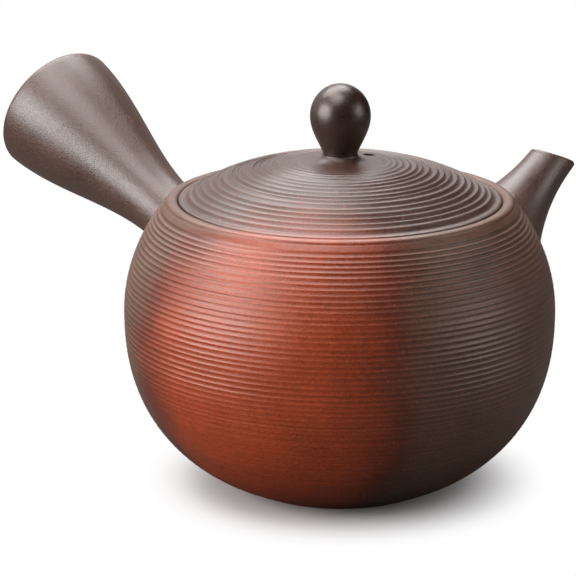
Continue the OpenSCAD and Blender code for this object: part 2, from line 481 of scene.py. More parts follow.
@dataclass
class Spout(LutedTube):
    """Separately thrown spout with a flared root and a slanted, rounded lip.

    Attributes:
        length: Length along the axis, from the wall to the middle of the cut tip.
        tip_d: Outside width at the tip.
        root_d: Outside width at the wall.
        flare: Power of the flare towards the wall.
        wall: Thickness of the clay.
        tip_slope: Slope of the cut across the tip, in degrees.
        tip_passes: Passes that find the cut's line.
        lip_r: Radius of the lip's two edges.
        side_rows: Rings on the outside.
        lip_rows: Steps round each edge of the lip.
        bore_rows: Rings in the bore.
    """

    root: Root = SPOUT_ROOT
    length: float = 34.0
    tip_d: float = 12.0
    root_d: float = 33.0
    flare: float = 2.15
    wall: float = 2.2
    tip_slope: float = 22.6
    tip_passes: int = 12
    lip_r: float = 0.95
    side_rows: int = 44
    lip_rows: int = 5
    bore_rows: int = 16

    def outside(self, along: np.ndarray) -> np.ndarray:
        """Outside radius at distances along the axis from the wall."""
        below = np.clip(self.length - along, 0.0, self.length) / self.length
        return (self.tip_d + (self.root_d - self.tip_d) * below**self.flare) / 2.0

    def bore(self, along: np.ndarray) -> np.ndarray:
        """Inside radius at distances along the axis from the wall."""
        return self.outside(along) - self.wall

    def cut_normal(self) -> np.ndarray:
        """Normal of the plane that the tip is cut to."""
        slope = math.radians(self.tip_slope)
        return np.array([math.sin(slope), 0.0, math.cos(slope)])

    def at_tip(self, turn: np.ndarray, inset: float) -> np.ndarray:
        """Distances along the axis where the lip's rounding starts, a lip's radius below the cut.

        Args:
            turn: Angles round the axis.
            inset: How far inside the outside the line runs.

        Returns:
            One distance for each angle.
        """
        normal = self.cut_normal()
        axis = self.root.axes()[0]
        along = np.full(turn.shape, self.length)
        centre = self.root.start() + axis * self.length - normal * self.lip_r
        for _ in range(self.tip_passes):
            points = self.root.place(turn, self.outside(along) - inset, along)
            along = along - ((points - centre) @ normal) / float(axis @ normal)
        return along

    def add_lip(self, skin: RingSkin, turn: np.ndarray) -> None:
        """Adds the lip's inner and outer edge.

        Args:
            skin: Skin that gets the rings.
            turn: Angles round the axis.
        """
        normal = self.cut_normal()
        for inset, start in ((self.wall - self.lip_r, math.pi), (self.lip_r, QUARTER_TURN)):
            middle_top = self.at_tip(turn, inset)
            middle = self.root.place(turn, self.outside(middle_top) - inset, middle_top)
            spoke = middle - middle.mean(axis=0)
            spoke = unit(spoke - (spoke @ normal)[:, None] * normal)
            for row in range(self.lip_rows + 1):
                swing = start - QUARTER_TURN * row / self.lip_rows
                skin.add(middle + self.lip_r * (math.cos(swing) * spoke + math.sin(swing) * normal))

    def build(self) -> bpy.types.Object:
        """Makes the spout's mesh.

        Returns:
            The new object, linked to the scene.
        """
        skin = RingSkin("spout_clay", self.around)
        turn = skin.turns()
        inner_end = self.meet_wall(turn, self.bore)
        inner_top = self.at_tip(turn, self.wall)
        for row in range(self.bore_rows):
            along = inner_end + (inner_top - inner_end) * row / self.bore_rows
            skin.add(self.root.place(turn, self.bore(along), along))
        self.add_lip(skin, turn)
        outer_top = self.at_tip(turn, 0.0)
        outer_end = self.meet_wall(turn, self.outside) + self.fillet_up
        for row in range(1, self.side_rows + 1):
            along = outer_top + (outer_end - outer_top) * row / self.side_rows
            skin.add(self.root.place(turn, self.outside(along), along))
        edge = self.fillet(skin, turn)
        skin.add(WALL.drop((edge + skin.rings[0]) / 2.0, self.under_sink))
        skin.add(WALL.drop(skin.rings[0], self.sink))
        return skin.build()


@dataclass
class Handle(LutedTube):
    """Separately thrown hollow trumpet with a rounded rim.

    Attributes:
        seat_shares: Widths of the hidden seat's rings, as shares of the fillet's edge.
        length: Length along the axis, from the wall to the end of the rim.
        root_d: Outside width at the wall.
        end_d: Outside width at the rim.
        waist: How far the handle draws in after the wall.
        lip: How steeply it opens at the rim.
        wall: Thickness of the clay.
        plug: Length of the solid clay at the wall.
        plug_rows: Steps across the plug's end.
        plug_dish: How far the plug's end is dished.
        plug_round: Length of the rounding between plug and bore.
        side_rows: Rings on the outside.
        rim_rows: Steps round the rim.
        bore_rows: Rings in the bore.
    """

    root: Root = HANDLE_ROOT
    fillet_up: float = 4.0
    fillet_out: float = 4.0
    under_sink: float = 0.48
    seat_shares: tuple[float, ...] = (0.6, 0.2)
    length: float = 67.0
    root_d: float = 19.8
    end_d: float = 37.0
    waist: float = 2.0
    lip: float = 0.5
    wall: float = 3.0
    plug: float = 14.0
    plug_rows: int = 4
    plug_dish: float = 0.25
    plug_round: float = 0.6
    side_rows: int = 64
    rim_rows: int = 12
    bore_rows: int = 24

    def outside(self, along: np.ndarray) -> np.ndarray:
        """Outside radius of the handle.

        Args:
            along: Distances along the axis from the wall.

        Returns:
            One radius for each distance.
        """
        share = np.clip(along / (self.length - self.wall / 2.0), 0.0, 1.0)
        swell = share**2 * (3.0 - 2.0 * share)
        waist = share * (1.0 - share) ** 2 * self.waist
        lip = share**2 * (share - 1.0) * self.lip
        return (self.root_d + (self.end_d - self.root_d) * (swell - waist + lip)) / 2.0

    def bore(self, along: float) -> float:
        """Inside radius at a distance along the axis from the wall."""
        return float(self.outside(np.array(along))) - self.wall

    def build(self) -> bpy.types.Object:
        """Makes the handle's mesh.

        Returns:
            The new object, linked to the scene.
        """
        skin = RingSkin("handle_clay", self.around)
        turn = skin.turns()
        rim_r = self.wall / 2.0
        side_end = self.length - rim_r
        for row in range(1, self.plug_rows):
            share = row / self.plug_rows
            skin.add(self.root.place(turn, self.bore(self.plug) * share, self.plug + self.plug_dish * share**2))
        bore_end = self.plug + self.plug_round
        for row in range(self.bore_rows):
            along = bore_end + (side_end - bore_end) * row / self.bore_rows
            skin.add(self.root.place(turn, self.bore(along), along))
        rim_middle = self.end_d / 2.0 - rim_r
        for row in range(self.rim_rows + 1):
            swing = math.pi * (1.0 - row / self.rim_rows)
            radius = rim_middle + rim_r * math.cos(swing)
            skin.add(self.root.place(turn, radius, side_end + rim_r * math.sin(swing)))
        outer_end = self.meet_wall(turn, self.outside) + self.fillet_up
        for row in range(1, self.side_rows + 1):
            along = side_end + (outer_end - side_end) * row / self.side_rows
            skin.add(self.root.place(turn, self.outside(along), along))
        edge = self.fillet(skin, turn)
        middle = self.root.start()
        for share in self.seat_shares:
            skin.add(WALL.drop(middle + (edge - middle) * share, self.under_sink))
        return skin.build()


@dataclass
class CombRun:
    """Run of combed grooves between crests, with the small slips of a hand-held comb.

    Attributes:
        crests: Places of the crests along the profile.
        depths: Depth of the groove after each crest but the last.
        slip: Largest slip of a crest round the pot, along the profile.
        seed: Seed of the slips.
        rows: Shares of a groove where its rings lie.
        crest_power: How narrow the crests are, 2 is a plain wave.
        full_depth: Depth from which a groove takes its full comb mark.
        waves: Share of the slip and count round the pot of each wave in it.
        sway: How much the depth of a groove changes round the pot.
        sway_waves: Times that it changes round the pot.
        sway_seed: Added to the seed for these changes.
        press: How much harder the comb pressed on some sides of the pot.
        press_sides: Number of these sides.
        press_at: Turn where it pressed hardest, in radians.
    """

    crests: np.ndarray
    depths: np.ndarray
    slip: float
    seed: int
    rows: tuple[float, ...] = (0.0, 0.1, 0.25, 0.42, 0.58, 0.75, 0.9)
    crest_power: float = 1.05
    full_depth: float = 0.2
    waves: tuple[tuple[float, float], ...] = ((0.7, 2.0), (0.3, 5.0))
    sway: float = 0.12
    sway_waves: float = 3.0
    sway_seed: int = 500
    press: float = 0.0
    press_sides: float = 3.0
    press_at: float = math.radians(-84.0)

    def wander(self, index: int, turn: np.ndarray) -> np.ndarray:
        """Slip of a crest round the pot.

        Args:
            index: Number of the crest.
            turn: Angles round the pot.

        Returns:
            One slip along the profile for each angle.
        """
        dice = np.random.default_rng(self.seed + index)
        starts = dice.uniform(0.0, FULL_TURN, len(self.waves))
        pairs = zip(self.waves, starts)
        return self.slip * sum(share * np.sin(turn * count + start) for (share, count), start in pairs)

    def rings(self, turn: np.ndarray) -> list[tuple[np.ndarray, np.ndarray, float]]:
        """Rings of the run, each as its place, its depth and its comb mark.

        Args:
            turn: Angles round the pot.

        Returns:
            For each ring, the place of every point along the profile, its depth and the ring's comb mark.
        """
        found = []
        for index, depth in enumerate(self.depths):
            low = self.crests[index] + self.wander(index, turn)
            high = self.crests[index + 1] + self.wander(index + 1, turn)
            dice = np.random.default_rng(self.seed + self.sway_seed + index)
            sway = 1.0 + self.sway * np.sin(turn * self.sway_waves + dice.uniform(0.0, FULL_TURN))
            sway = sway + self.press * np.cos(self.press_sides * (turn - self.press_at))
            weight = min(1.0, depth / self.full_depth)
            for share in self.rows:
                hollow = math.sin(math.pi * share) ** self.crest_power
                mark = SMOOTH_COMB + (1.0 - hollow - SMOOTH_COMB) * weight
                found.append((low + share * (high - low), depth * hollow * sway, mark))
        return found


@dataclass
class PotBody:
    """Thrown body with its foot ring, combed wall, collar bead and lid gallery.

    Attributes:
        around: Points round the body.
        wall: Thickness of the wall.
        inside_rows: Rings on the wall's inside.
        inside_from: Angle from the belly's middle where the search for the inside's two ends starts.
        inside_step: Step of that search, in radians.
        floor_z: Height of the floor inside.
        floor_bend: Height above the floor where the wall starts to bend into it.
        floor_rings: Rings of the floor, each as its step inwards from that bend and its height above the floor.
        foot_ring_w: Width of the foot ring.
        foot_hollow: Height of the hollow under the foot.
        hollow_rings: Radii of the rings under the foot.
        hollow_round: Rings of the hollow's edge, each as its step inwards from the foot ring and its drop.
        foot_edge: Width of the foot's outer edge, in radii of the small edges.
        foot_rows: Plain rings between the foot and the faint lines.
        foot_gap: Angle between the foot and the first of them.
        edge_r: Radius of the small edges.
        edge_rows: Rings on a small edge.
        gallery_r: Radius of the gallery that the lid lies in.
        gallery_round: Rings of its corner, each as its step inwards and its height above the ledge.
        mouth_r: Radius of the mouth.
        crest_z: Height of the collar bead.
        cove: Rings of the cove below the bead, each as its step inwards, its drop and its comb mark; the low marks
            paint shade into the cove.
        bead_w: Half width of the bead.
        bead_h: Height of the bead.
        bead_swing: Angles where the bead's round starts and stops, in degrees.
        bead_rows: Rings on the bead.
        bead_combs: Comb mark at the bead's sides, and what its top adds; the sides' mark is below plain and paints a
            little shade on them.
        ledge_z: Height of the ledge under the lid's rim.
        ledge_t: Thickness of the ledge.
        ledge_gap: Rounding between the ledge's underside and the wall.
        seed: Seed of the ribs' uneven places and depths.
        ribs: Number of strong ribs.
        ribs_low_z: Height of the lowest strong rib.
        rib_depth: Depth of the strong ribs' grooves.
        rib_spread: Least and greatest share of that depth.
        rib_slip: Largest slip of a crest's place, as a share of the pitch.
        first_ribs: Shares of the depth of the lowest ribs.
        shoulder_press: How much deeper the grooves are at the shoulder.
        press_span: Shares of the ribs between which they get deeper.
        hand_press: How much harder the comb pressed on three sides.
        slip: Largest slip of a crest round the pot.
        rib_seed: Seed of the strong ribs' slips.
        band: Width of the plain band under the collar.
        band_rings: Rings of that band, each as its share of the band and its comb mark; the first, on the last crest,
            takes the crests' lighter colour, and the last, by the cove, a little painted shade.
        faint_low_z: Height of the lowest faint line.
        faint_lines: Number of faint lines.
        faint_depth: Depth of their grooves.
        faint_spread: Least and greatest share of that depth.
        faint_start: Share of that depth at the lowest line.
        faint_drift: How far the lines draw together and apart, as a share of their run.
        faint_waves: Half waves of that drift.
        faint_rows: Shares of a faint groove where its rings lie.
        faint_seed: Seed of the faint lines' slips.
        spout_land: Distances from the spout's axis where the combing starts and is full.
        handle_land: Distances from the handle's axis where the combing starts and is full.
        wiped_at: Middle of the wiped place below the spout.
        wiped: Distances from it where the combing starts and is full.
        spout_hole_d: Width of the hole that leads to the spout.
        spout_hole_span: Where that hole starts and stops along the spout's axis.
    """

    around: int = 240
    wall: float = 3.2
    inside_rows: int = 40
    inside_from: float = 0.5
    inside_step: float = 0.004
    floor_z: float = 5.0
    floor_bend: float = 2.2
    floor_rings: tuple[tuple[float, float], ...] = ((1.6, 1.0), (3.6, 0.3), (6.0, 0.0), (14.0, 0.0), (24.0, 0.0))
    foot_ring_w: float = 4.5
    foot_hollow: float = 1.0
    hollow_rings: tuple[float, ...] = (6.0, 14.0)
    hollow_round: tuple[tuple[float, float], ...] = ((1.0, 0.0), (0.3, 0.1))
    foot_edge: float = 2.2
    foot_rows: int = 12
    foot_gap: float = 0.01
    edge_r: float = 0.5
    edge_rows: int = 5
    gallery_r: float = 41.0
    gallery_round: tuple[tuple[float, float], ...] = ((0.0, 0.4), (0.12, 0.12), (0.4, 0.0))
    mouth_r: float = 36.5
    crest_z: float = 74.4
    cove: tuple[tuple[float, float, float], ...] = ((0.0, 1.12, 0.1), (0.1, 1.06, 0.0), (0.18, 0.9, 0.1))
    bead_w: float = 1.48
    bead_h: float = 0.82
    bead_swing: tuple[float, float] = (12.0, 180.0)
    bead_rows: int = 14
    bead_combs: tuple[float, float] = (0.3, 0.2)
    ledge_z: float = 72.0
    ledge_t: float = 3.0
    ledge_gap: float = 0.6
    seed: int = 11
    ribs: int = 31
    ribs_low_z: float = 31.0
    rib_depth: float = 0.16
    rib_spread: tuple[float, float] = (0.85, 1.1)
    rib_slip: float = 0.11
    first_ribs: tuple[float, ...] = (0.4, 0.5, 0.65, 0.8, 0.9)
    shoulder_press: float = 0.85
    press_span: tuple[float, float] = (0.6, 0.9)
    hand_press: float = 0.35
    slip: float = 0.07
    rib_seed: int = 90
    band: float = 1.7
    band_rings: tuple[tuple[float, float], ...] = (
        (0.0, 0.9),
        (0.12, SMOOTH_COMB),
        (0.4, SMOOTH_COMB),
        (0.7, SMOOTH_COMB),
        (0.9, 0.3),
    )
    faint_low_z: float = 9.0
    faint_lines: int = 19
    faint_depth: float = 0.135
    faint_spread: tuple[float, float] = (0.3, 1.2)
    faint_start: float = 0.4
    faint_drift: float = 0.02
    faint_waves: float = 5.0
    faint_rows: tuple[float, ...] = (0.0, 0.3, 0.7)
    faint_seed: int = 40
    spout_land: tuple[float, float] = (25.0, 33.0)
    handle_land: tuple[float, float] = (15.0, 22.0)
    wiped_at: tuple[float, float, float] = (52.0, 0.0, 15.0)
    wiped: tuple[float, float] = (44.0, 62.0)
    spout_hole_d: float = 17.0
    spout_hole_span: tuple[float, float] = (-14.0, 8.0)

    def combs(self) -> tuple[CombRun, CombRun]:
        """Combed runs of the wall.

        Returns:
            The faint turning lines below, and the strong ribs above.
        """
        dice = np.random.default_rng(self.seed)
        low, high = WALL.angle_at(self.faint_low_z), WALL.angle_at(self.ribs_low_z)
        share = np.linspace(0.0, 1.0, self.faint_lines + 1)
        drift = self.faint_drift * np.sin(share * self.faint_waves * math.pi)
        faint_crests = low + (high - low) * (share + drift)
        fade = self.faint_start + (1.0 - self.faint_start) * share[1:]
        faint_depths = self.faint_depth * fade * dice.uniform(*self.faint_spread, self.faint_lines)
        pitch = (WALL.top_angle() - self.band / WALL.belly_r - high) / self.ribs
        strong_crests = high + pitch * np.arange(self.ribs + 1)
        strong_crests[1:-1] += pitch * dice.uniform(-self.rib_slip, self.rib_slip, self.ribs - 1)
        strong_depths = self.rib_depth * dice.uniform(*self.rib_spread, self.ribs)
        press = smoothstep(*self.press_span, np.linspace(0.0, 1.0, self.ribs))
        strong_depths *= 1.0 + self.shoulder_press * press
        strong_depths[: len(self.first_ribs)] *= self.first_ribs
        slip = self.slip / WALL.belly_r
        faint = CombRun(faint_crests, faint_depths, slip, self.faint_seed, rows=self.faint_rows)
        return faint, CombRun(strong_crests, strong_depths, slip, self.rib_seed, press=self.hand_press)

    def smoothing(self, points: np.ndarray) -> np.ndarray:
        """Share of the combing that is left.

        Args:
            points: One row of x, y and z for each point.

        Returns:
            One share for each point, 0 on the lands round the two roots and on the wiped place.
        """
        spout = smoothstep(*self.spout_land, SPOUT_ROOT.off_axis(points))
        handle = smoothstep(*self.handle_land, HANDLE_ROOT.off_axis(points))
        below_spout = smoothstep(*self.wiped, np.linalg.norm(points - np.array(self.wiped_at), axis=1))
        return spout * handle * below_spout

    def add_wall_ring(self, skin: RingSkin, angle: np.ndarray, depth: np.ndarray, comb: float) -> None:
        """Adds a ring of the combed wall.

        Args:
            skin: Skin that gets the ring.
            angle: Angle above level of each point.
            depth: Depth of the groove at each point.
            comb: Comb mark of the ring, before it is smoothed.
        """
        turn = skin.turns()
        left = self.smoothing(turned(turn, *WALL.polar(angle, 0.0)))
        ring = turned(turn, *WALL.polar(angle, depth * left))
        skin.add(ring, SMOOTH_COMB + (comb - SMOOTH_COMB) * left)

    def add_foot(self, skin: RingSkin) -> None:
        """Adds the hollow under the foot and the foot ring.

        Args:
            skin: Skin that gets the rings.
        """
        inner_r = WALL.foot_r - self.foot_ring_w
        skin.add_profile((radius, self.foot_hollow) for radius in self.hollow_rings)
        skin.add_profile((inner_r - step, self.foot_hollow - drop) for step, drop in self.hollow_round)
        skin.add_profile(self.corner(inner_r + self.edge_r, self.edge_r, 180.0, 270.0))
        skin.add_profile(self.corner(WALL.foot_r - self.foot_edge * self.edge_r, self.edge_r, 270.0, 315.0))

    def corner(self, radius: float, height: float, start: float, stop: float) -> list[tuple[float, float]]:
        """Points of a small rounded edge.

        Args:
            radius: Radius of the circle through the rounding's middle.
            height: Height of that circle.
            start: Angle where the rounding starts, in degrees.
            stop: Angle where it stops, in degrees.

        Returns:
            Radius and height of each point.
        """
        swings = np.radians(np.linspace(start, stop, self.edge_rows))
        return [(radius + self.edge_r * math.cos(a), height + self.edge_r * math.sin(a)) for a in swings]

    def add_wall(self, skin: RingSkin) -> None:
        """Adds the outside of the wall from the foot to the collar.

        Args:
            skin: Skin that gets the rings.
        """
        turn = skin.turns()
        faint, strong = self.combs()
        foot, last = WALL.angle_at(WALL.foot_h) + self.foot_gap, strong.crests[-1]
        below = np.linspace(foot, faint.crests[0], self.foot_rows, endpoint=False)
        above = [(last + (WALL.top_angle() - last) * share, comb) for share, comb in self.band_rings]
        plain = np.zeros(self.around)
        for angle in below:
            self.add_wall_ring(skin, np.full(self.around, angle), plain, SMOOTH_COMB)
        for angle, depth, comb in faint.rings(turn) + strong.rings(turn):
            self.add_wall_ring(skin, angle, depth, comb)
        for angle, comb in above:
            self.add_wall_ring(skin, np.full(self.around, angle), plain, comb)

    def add_collar(self, skin: RingSkin) -> None:
        """Adds the cove, the collar bead and the gallery that the lid lies in.

        Args:
            skin: Skin that gets the rings.
        """
        # The cove's low comb marks paint shade into it.
        for step, drop, comb in self.cove:
            skin.add_turned(WALL.shoulder_r - step, self.crest_z - drop, comb)
        # The bead's sides take a mark below plain, which paints a little shade on them.
        side_comb, top_comb = self.bead_combs
        for swing in np.radians(np.linspace(*self.bead_swing, self.bead_rows)):
            lift = math.sin(swing)
            across = self.gallery_r + self.bead_w * (1.0 + math.cos(swing))
            skin.add_turned(across, self.crest_z - self.bead_h + self.bead_h * lift, side_comb + top_comb * lift)
        gallery = [(self.gallery_r - step, self.ledge_z + lift) for step, lift in self.gallery_round]
        # The gallery's corner takes the corner mark, which paints shade into it.
        skin.add_profile(gallery, SHADED_CORNER_COMB)
        edge, low = self.mouth_r + self.edge_r, self.ledge_z - self.ledge_t
        skin.add_turned(edge, self.ledge_z)
        skin.add_profile(self.corner(edge, self.ledge_z - self.edge_r, 90.0, 180.0))
        skin.add_profile(self.corner(edge, low + self.edge_r, 180.0, 270.0))

    def inside_angle(self, start: float, height: float) -> float:
        """First angle below a start where the wall's inside is no higher than a height.

        Args:
            start: Angle where the search starts, in radians.
            height: Height that the inside comes down to.

        Returns:
            The angle in radians.
        """
        angle = start
        while WALL.polar(np.array(angle), self.wall)[1] > height:
            angle -= self.inside_step
        return angle

    def add_inside(self, skin: RingSkin) -> None:
        """Adds the inside of the wall and the floor.

        Args:
            skin: Skin that gets the rings.
        """
        low = self.ledge_z - self.ledge_t
        top = self.inside_angle(self.inside_from, low - self.ledge_gap)
        bottom = self.inside_angle(-self.inside_from, self.floor_z + self.floor_bend)
        angles = np.linspace(top, bottom, self.inside_rows)
        points = [WALL.polar(np.array(angle), self.wall) for angle in angles]
        profile = [(float(radius), float(height)) for radius, height in points]
        skin.add_turned(profile[0][0] - self.ledge_gap, low)
        skin.add_profile(profile)
        bend_r = profile[-1][0]
        skin.add_profile((bend_r - step, self.floor_z + lift) for step, lift in self.floor_rings)

    def build(self) -> bpy.types.Object:
        """Makes the body's mesh, with the hole that leads to the spout.

        Returns:
            The new object, linked to the scene.
        """
        skin = RingSkin("body_clay", self.around)
        self.add_foot(skin)
        self.add_wall(skin)
        self.add_collar(skin)
        self.add_inside(skin)
        obj = skin.build()
        drill(obj, SPOUT_ROOT.start(), SPOUT_ROOT.axes()[0], self.spout_hole_d / 2.0, self.spout_hole_span)
        return obj


def drill(obj: bpy.types.Object, at: np.ndarray, along: np.ndarray, radius: float, span: tuple[float, float]) -> None:
    """Cuts a round hole through a piece.

    Args:
        obj: Piece that is cut.
        at: Point on the hole's axis, in millimetres.
        along: Direction of the axis.
        radius: Radius of the hole.
        span: Where the hole starts and stops along the axis.
    """
    mesh = bpy.data.meshes.new("drill")
    work = bmesh.new()
    size = {"radius1": radius * MM, "radius2": radius * MM, "depth": (span[1] - span[0]) * MM}
    bmesh.ops.create_cone(work, cap_ends=True, segments=DRILL_SIDES, **size)
    work.to_mesh(mesh)
    work.free()
    cutter = put("drill", mesh)
    middle = at + along * (span[0] + span[1]) / 2.0
    cutter.rotation_mode = "QUATERNION"
    cutter.rotation_quaternion = Vector(along).to_track_quat("Z", "Y")
    cutter.location = Vector(middle * MM)
    cut = obj.modifiers.new("hole", "BOOLEAN")
    cut.operation = "DIFFERENCE"
    cut.solver = "EXACT"
    cut.object = cutter
    bpy.context.view_layer.update()
    graph = bpy.context.evaluated_depsgraph_get()
    drilled = bpy.data.meshes.new_from_object(obj.evaluated_get(graph), depsgraph=graph)
    obj.modifiers.clear()
    obj.data = drilled
    bpy.data.objects.remove(cutter)
    bpy.data.meshes.remove(mesh)


@dataclass
class Lid:
    """Thrown lid with a combed dome, a steam vent and a flange that drops into the mouth.

    Attributes:
        around: Points round the lid.
        radius: Radius of the rim.
        edge_z: Height of the dome at the rim.
        ledge_z: Height of the ledge that the rim lies on.
        dome_rise: Rise of the dome from the rim to its middle.
        dome_fullness: Power of the dome's curve.
        thickness: Thickness of the dome.
        smooth_r: Radius of the innermost strong rib.
        seed: Seed of the ribs' uneven places and depths.
        ribs: Number of strong ribs.
        rib_depth: Depth of their grooves.
        rib_spread: Least and greatest share of that depth.
        rib_slip: Largest slip of a crest's place, as a share of the pitch.
        first_ribs: Shares of the depth of the innermost strong ribs.
        slip: Largest slip of a crest round the lid.
        rib_seed: Seed of these slips.
        rim_flat: Width of the plain rim outside the ribs.
        faint_steps: Steps inwards from the strong ribs to the faint crests.
        faint_shares: Shares of the depth of the faint grooves.
        middle_rows: Steps between the slip and the faint crests.
        edge_r: Radius of the rim's upper edge.
        edge_swing: Angle where that edge's round starts, in degrees.
        edge_rows: Rings on that edge.
        edge_drop: How far the edge lies below the last crest.
        edge_comb: Comb mark of the edge, a little above plain, which paints a faint highlight on it.
        seat_round: Size of the small slants beside the rim's seat.
        flange_r: Outside radius of the flange.
        flange_t: Thickness of the flange.
        flange_h: Height of the flange.
        flange_end: Height of the flange's round end.
        flange_rows: Rings on that end.
        flange_steps: Drops of the flange's outside rings.
        flange_inner: Drop of the flange's inside ring.
        under_round: Rings between flange and dome, each as its step inwards and its drop.
        under_edge: Step inwards to the first ring under the dome.
        under_pole_r: Radius of the last ring under the dome.
        under_rows: Rings under the dome.
        vent_d: Width of the steam vent.
        vent_offset: Distance of the vent from the axis.
        vent_span: Where the vent's hole starts and stops, from the dome's skin.
        fillet_r: Radius of the slip round the knob's foot.
        fillet_w: Width of the slip.
        fillet_h: Height of the slip.
        fillet_rows: Rings on the slip.
    """

    around: int = 240
    radius: float = 40.85
    edge_z: float = 74.0
    ledge_z: float = 72.0
    dome_rise: float = 10.0
    dome_fullness: float = 2.7
    thickness: float = 3.0
    smooth_r: float = 15.5
    seed: int = 23
    ribs: int = 14
    rib_depth: float = 0.56
    rib_spread: tuple[float, float] = (0.85, 1.1)
    rib_slip: float = 0.13
    first_ribs: tuple[float, ...] = (0.6, 0.75, 0.9)
    slip: float = 0.08
    rib_seed: int = 140
    rim_flat: float = 0.85
    faint_steps: tuple[float, ...] = (4.6, 2.9, 1.4)
    faint_shares: tuple[float, ...] = (0.15, 0.25, 0.4)
    middle_rows: int = 6
    edge_r: float = 0.35
    edge_swing: float = 70.0
    edge_rows: int = 6
    edge_drop: float = 0.2
    edge_comb: float = 0.6
    seat_round: float = 0.3
    flange_r: float = 36.0
    flange_t: float = 2.8
    flange_h: float = 9.0
    flange_end: float = 1.0
    flange_rows: int = 9
    flange_steps: tuple[float, ...] = (3.0, 6.0)
    flange_inner: float = 4.0
    under_round: tuple[tuple[float, float], ...] = ((0.0, 1.2), (0.4, 0.3))
    under_edge: float = 1.4
    under_pole_r: float = 2.0
    under_rows: int = 16
    vent_d: float = 3.0
    vent_offset: float = 10.3
    vent_span: tuple[float, float] = (-8.0, 3.0)
    fillet_r: float = 7.3
    fillet_w: float = 3.0
    fillet_h: float = 2.1
    fillet_rows: int = 14

    def top(self, radius: np.ndarray | float) -> np.ndarray:
        """Height of the dome's outer skin at a radius."""
        share = np.asarray(radius) / self.radius
        return self.edge_z + self.dome_rise * (1.0 - share**self.dome_fullness)

    def slip_rise(self, radius: float) -> float:
        """Rise of the slip that is smoothed round the knob's foot, above the dome."""
        share = min(max((self.fillet_r - radius) / self.fillet_w, 0.0), 1.0)
        return self.fillet_h * (1.0 - math.sqrt(1.0 - share * share))

    def comb(self) -> CombRun:
        """Ribs from the smooth middle out to the rim.

        Returns:
            The run, with radii as its places.
        """
        dice = np.random.default_rng(self.seed)
        strong = np.linspace(self.smooth_r, self.radius - self.rim_flat, self.ribs + 1)
        pitch = strong[1] - strong[0]
        strong[1:-1] += pitch * dice.uniform(-self.rib_slip, self.rib_slip, self.ribs - 1)
        depths = self.rib_depth * dice.uniform(*self.rib_spread, self.ribs)
        depths[: len(self.first_ribs)] *= self.first_ribs
        crests = np.concatenate([self.smooth_r - np.array(self.faint_steps), strong])
        faint_depths = self.rib_depth * np.array(self.faint_shares)
        return CombRun(crests, np.concatenate([faint_depths, depths]), self.slip, self.rib_seed)

    def add_top(self, skin: RingSkin) -> None:
        """Adds the smooth middle, the ribs and the rim.

        Args:
            skin: Skin that gets the rings.
        """
        turn = skin.turns()
        comb = self.comb()
        first, last = float(comb.crests[0]), float(comb.crests[-1])
        neck_r = self.fillet_r - self.fillet_w
        skin.add_turned(neck_r / 2.0, float(self.top(neck_r)) + self.fillet_h)
        for share in np.linspace(0.0, 1.0, self.fillet_rows):
            radius = neck_r + self.fillet_w * share**2
            skin.add_turned(radius, float(self.top(radius)) + self.slip_rise(radius))
        plain = np.linspace(self.fillet_r, first, self.middle_rows, endpoint=False)[1:]
        skin.add_profile((radius, float(self.top(radius))) for radius in plain)
        for radius, depth, mark in comb.rings(turn):
            skin.add(turned(turn, radius, self.top(radius) - depth), mark)
        skin.add_turned(last, float(self.top(last)), CREST_COMB)
        edge_z = float(self.top(last)) - self.edge_r - self.edge_drop
        for swing in np.radians(np.linspace(self.edge_swing, 0.0, self.edge_rows)):
            across = self.radius - self.edge_r + self.edge_r * math.cos(swing)
            skin.add_turned(across, edge_z + self.edge_r * math.sin(swing), self.edge_comb)
        # The rim's seat takes the corner mark, which paints shade beside it.
        skin.add_turned(self.radius, self.ledge_z + self.seat_round, SHADED_CORNER_COMB)
        skin.add_turned(self.radius - self.seat_round, self.ledge_z, SHADED_CORNER_COMB)

    def add_underside(self, skin: RingSkin) -> None:
        """Adds the seat, the flange and the underside of the dome.

        Args:
            skin: Skin that gets the rings.
        """
        end = self.ledge_z - self.flange_h + self.flange_end
        half, inner = self.flange_t / 2.0, self.flange_r - self.flange_t
        skin.add_turned(self.flange_r + self.seat_round, self.ledge_z)
        skin.add_profile((self.flange_r, self.ledge_z - step) for step in (self.seat_round, *self.flange_steps))
        for swing in np.radians(np.linspace(0.0, -180.0, self.flange_rows)):
            across = self.flange_r - half + half * math.cos(swing)
            skin.add_turned(across, end + self.flange_end * math.sin(swing))
        skin.add_turned(inner, self.ledge_z - self.flange_inner)
        under = float(self.top(inner)) - self.thickness
        skin.add_profile((inner - step, under - drop) for step, drop in self.under_round)
        dome = np.linspace(inner - self.under_edge, self.under_pole_r, self.under_rows)
        skin.add_profile((float(radius), float(self.top(radius)) - self.thickness) for radius in dome)

    def build(self) -> bpy.types.Object:
        """Makes the lid's mesh, with its vent.

        Returns:
            The new object, linked to the scene.
        """
        skin = RingSkin("lid_clay", self.around)
        self.add_top(skin)
        self.add_underside(skin)
        obj = skin.build()
        at = np.array([self.vent_offset, 0.0, float(self.top(self.vent_offset))])
        drill(obj, at, np.array([0.0, 0.0, 1.0]), self.vent_d / 2.0, self.vent_span)
        return obj


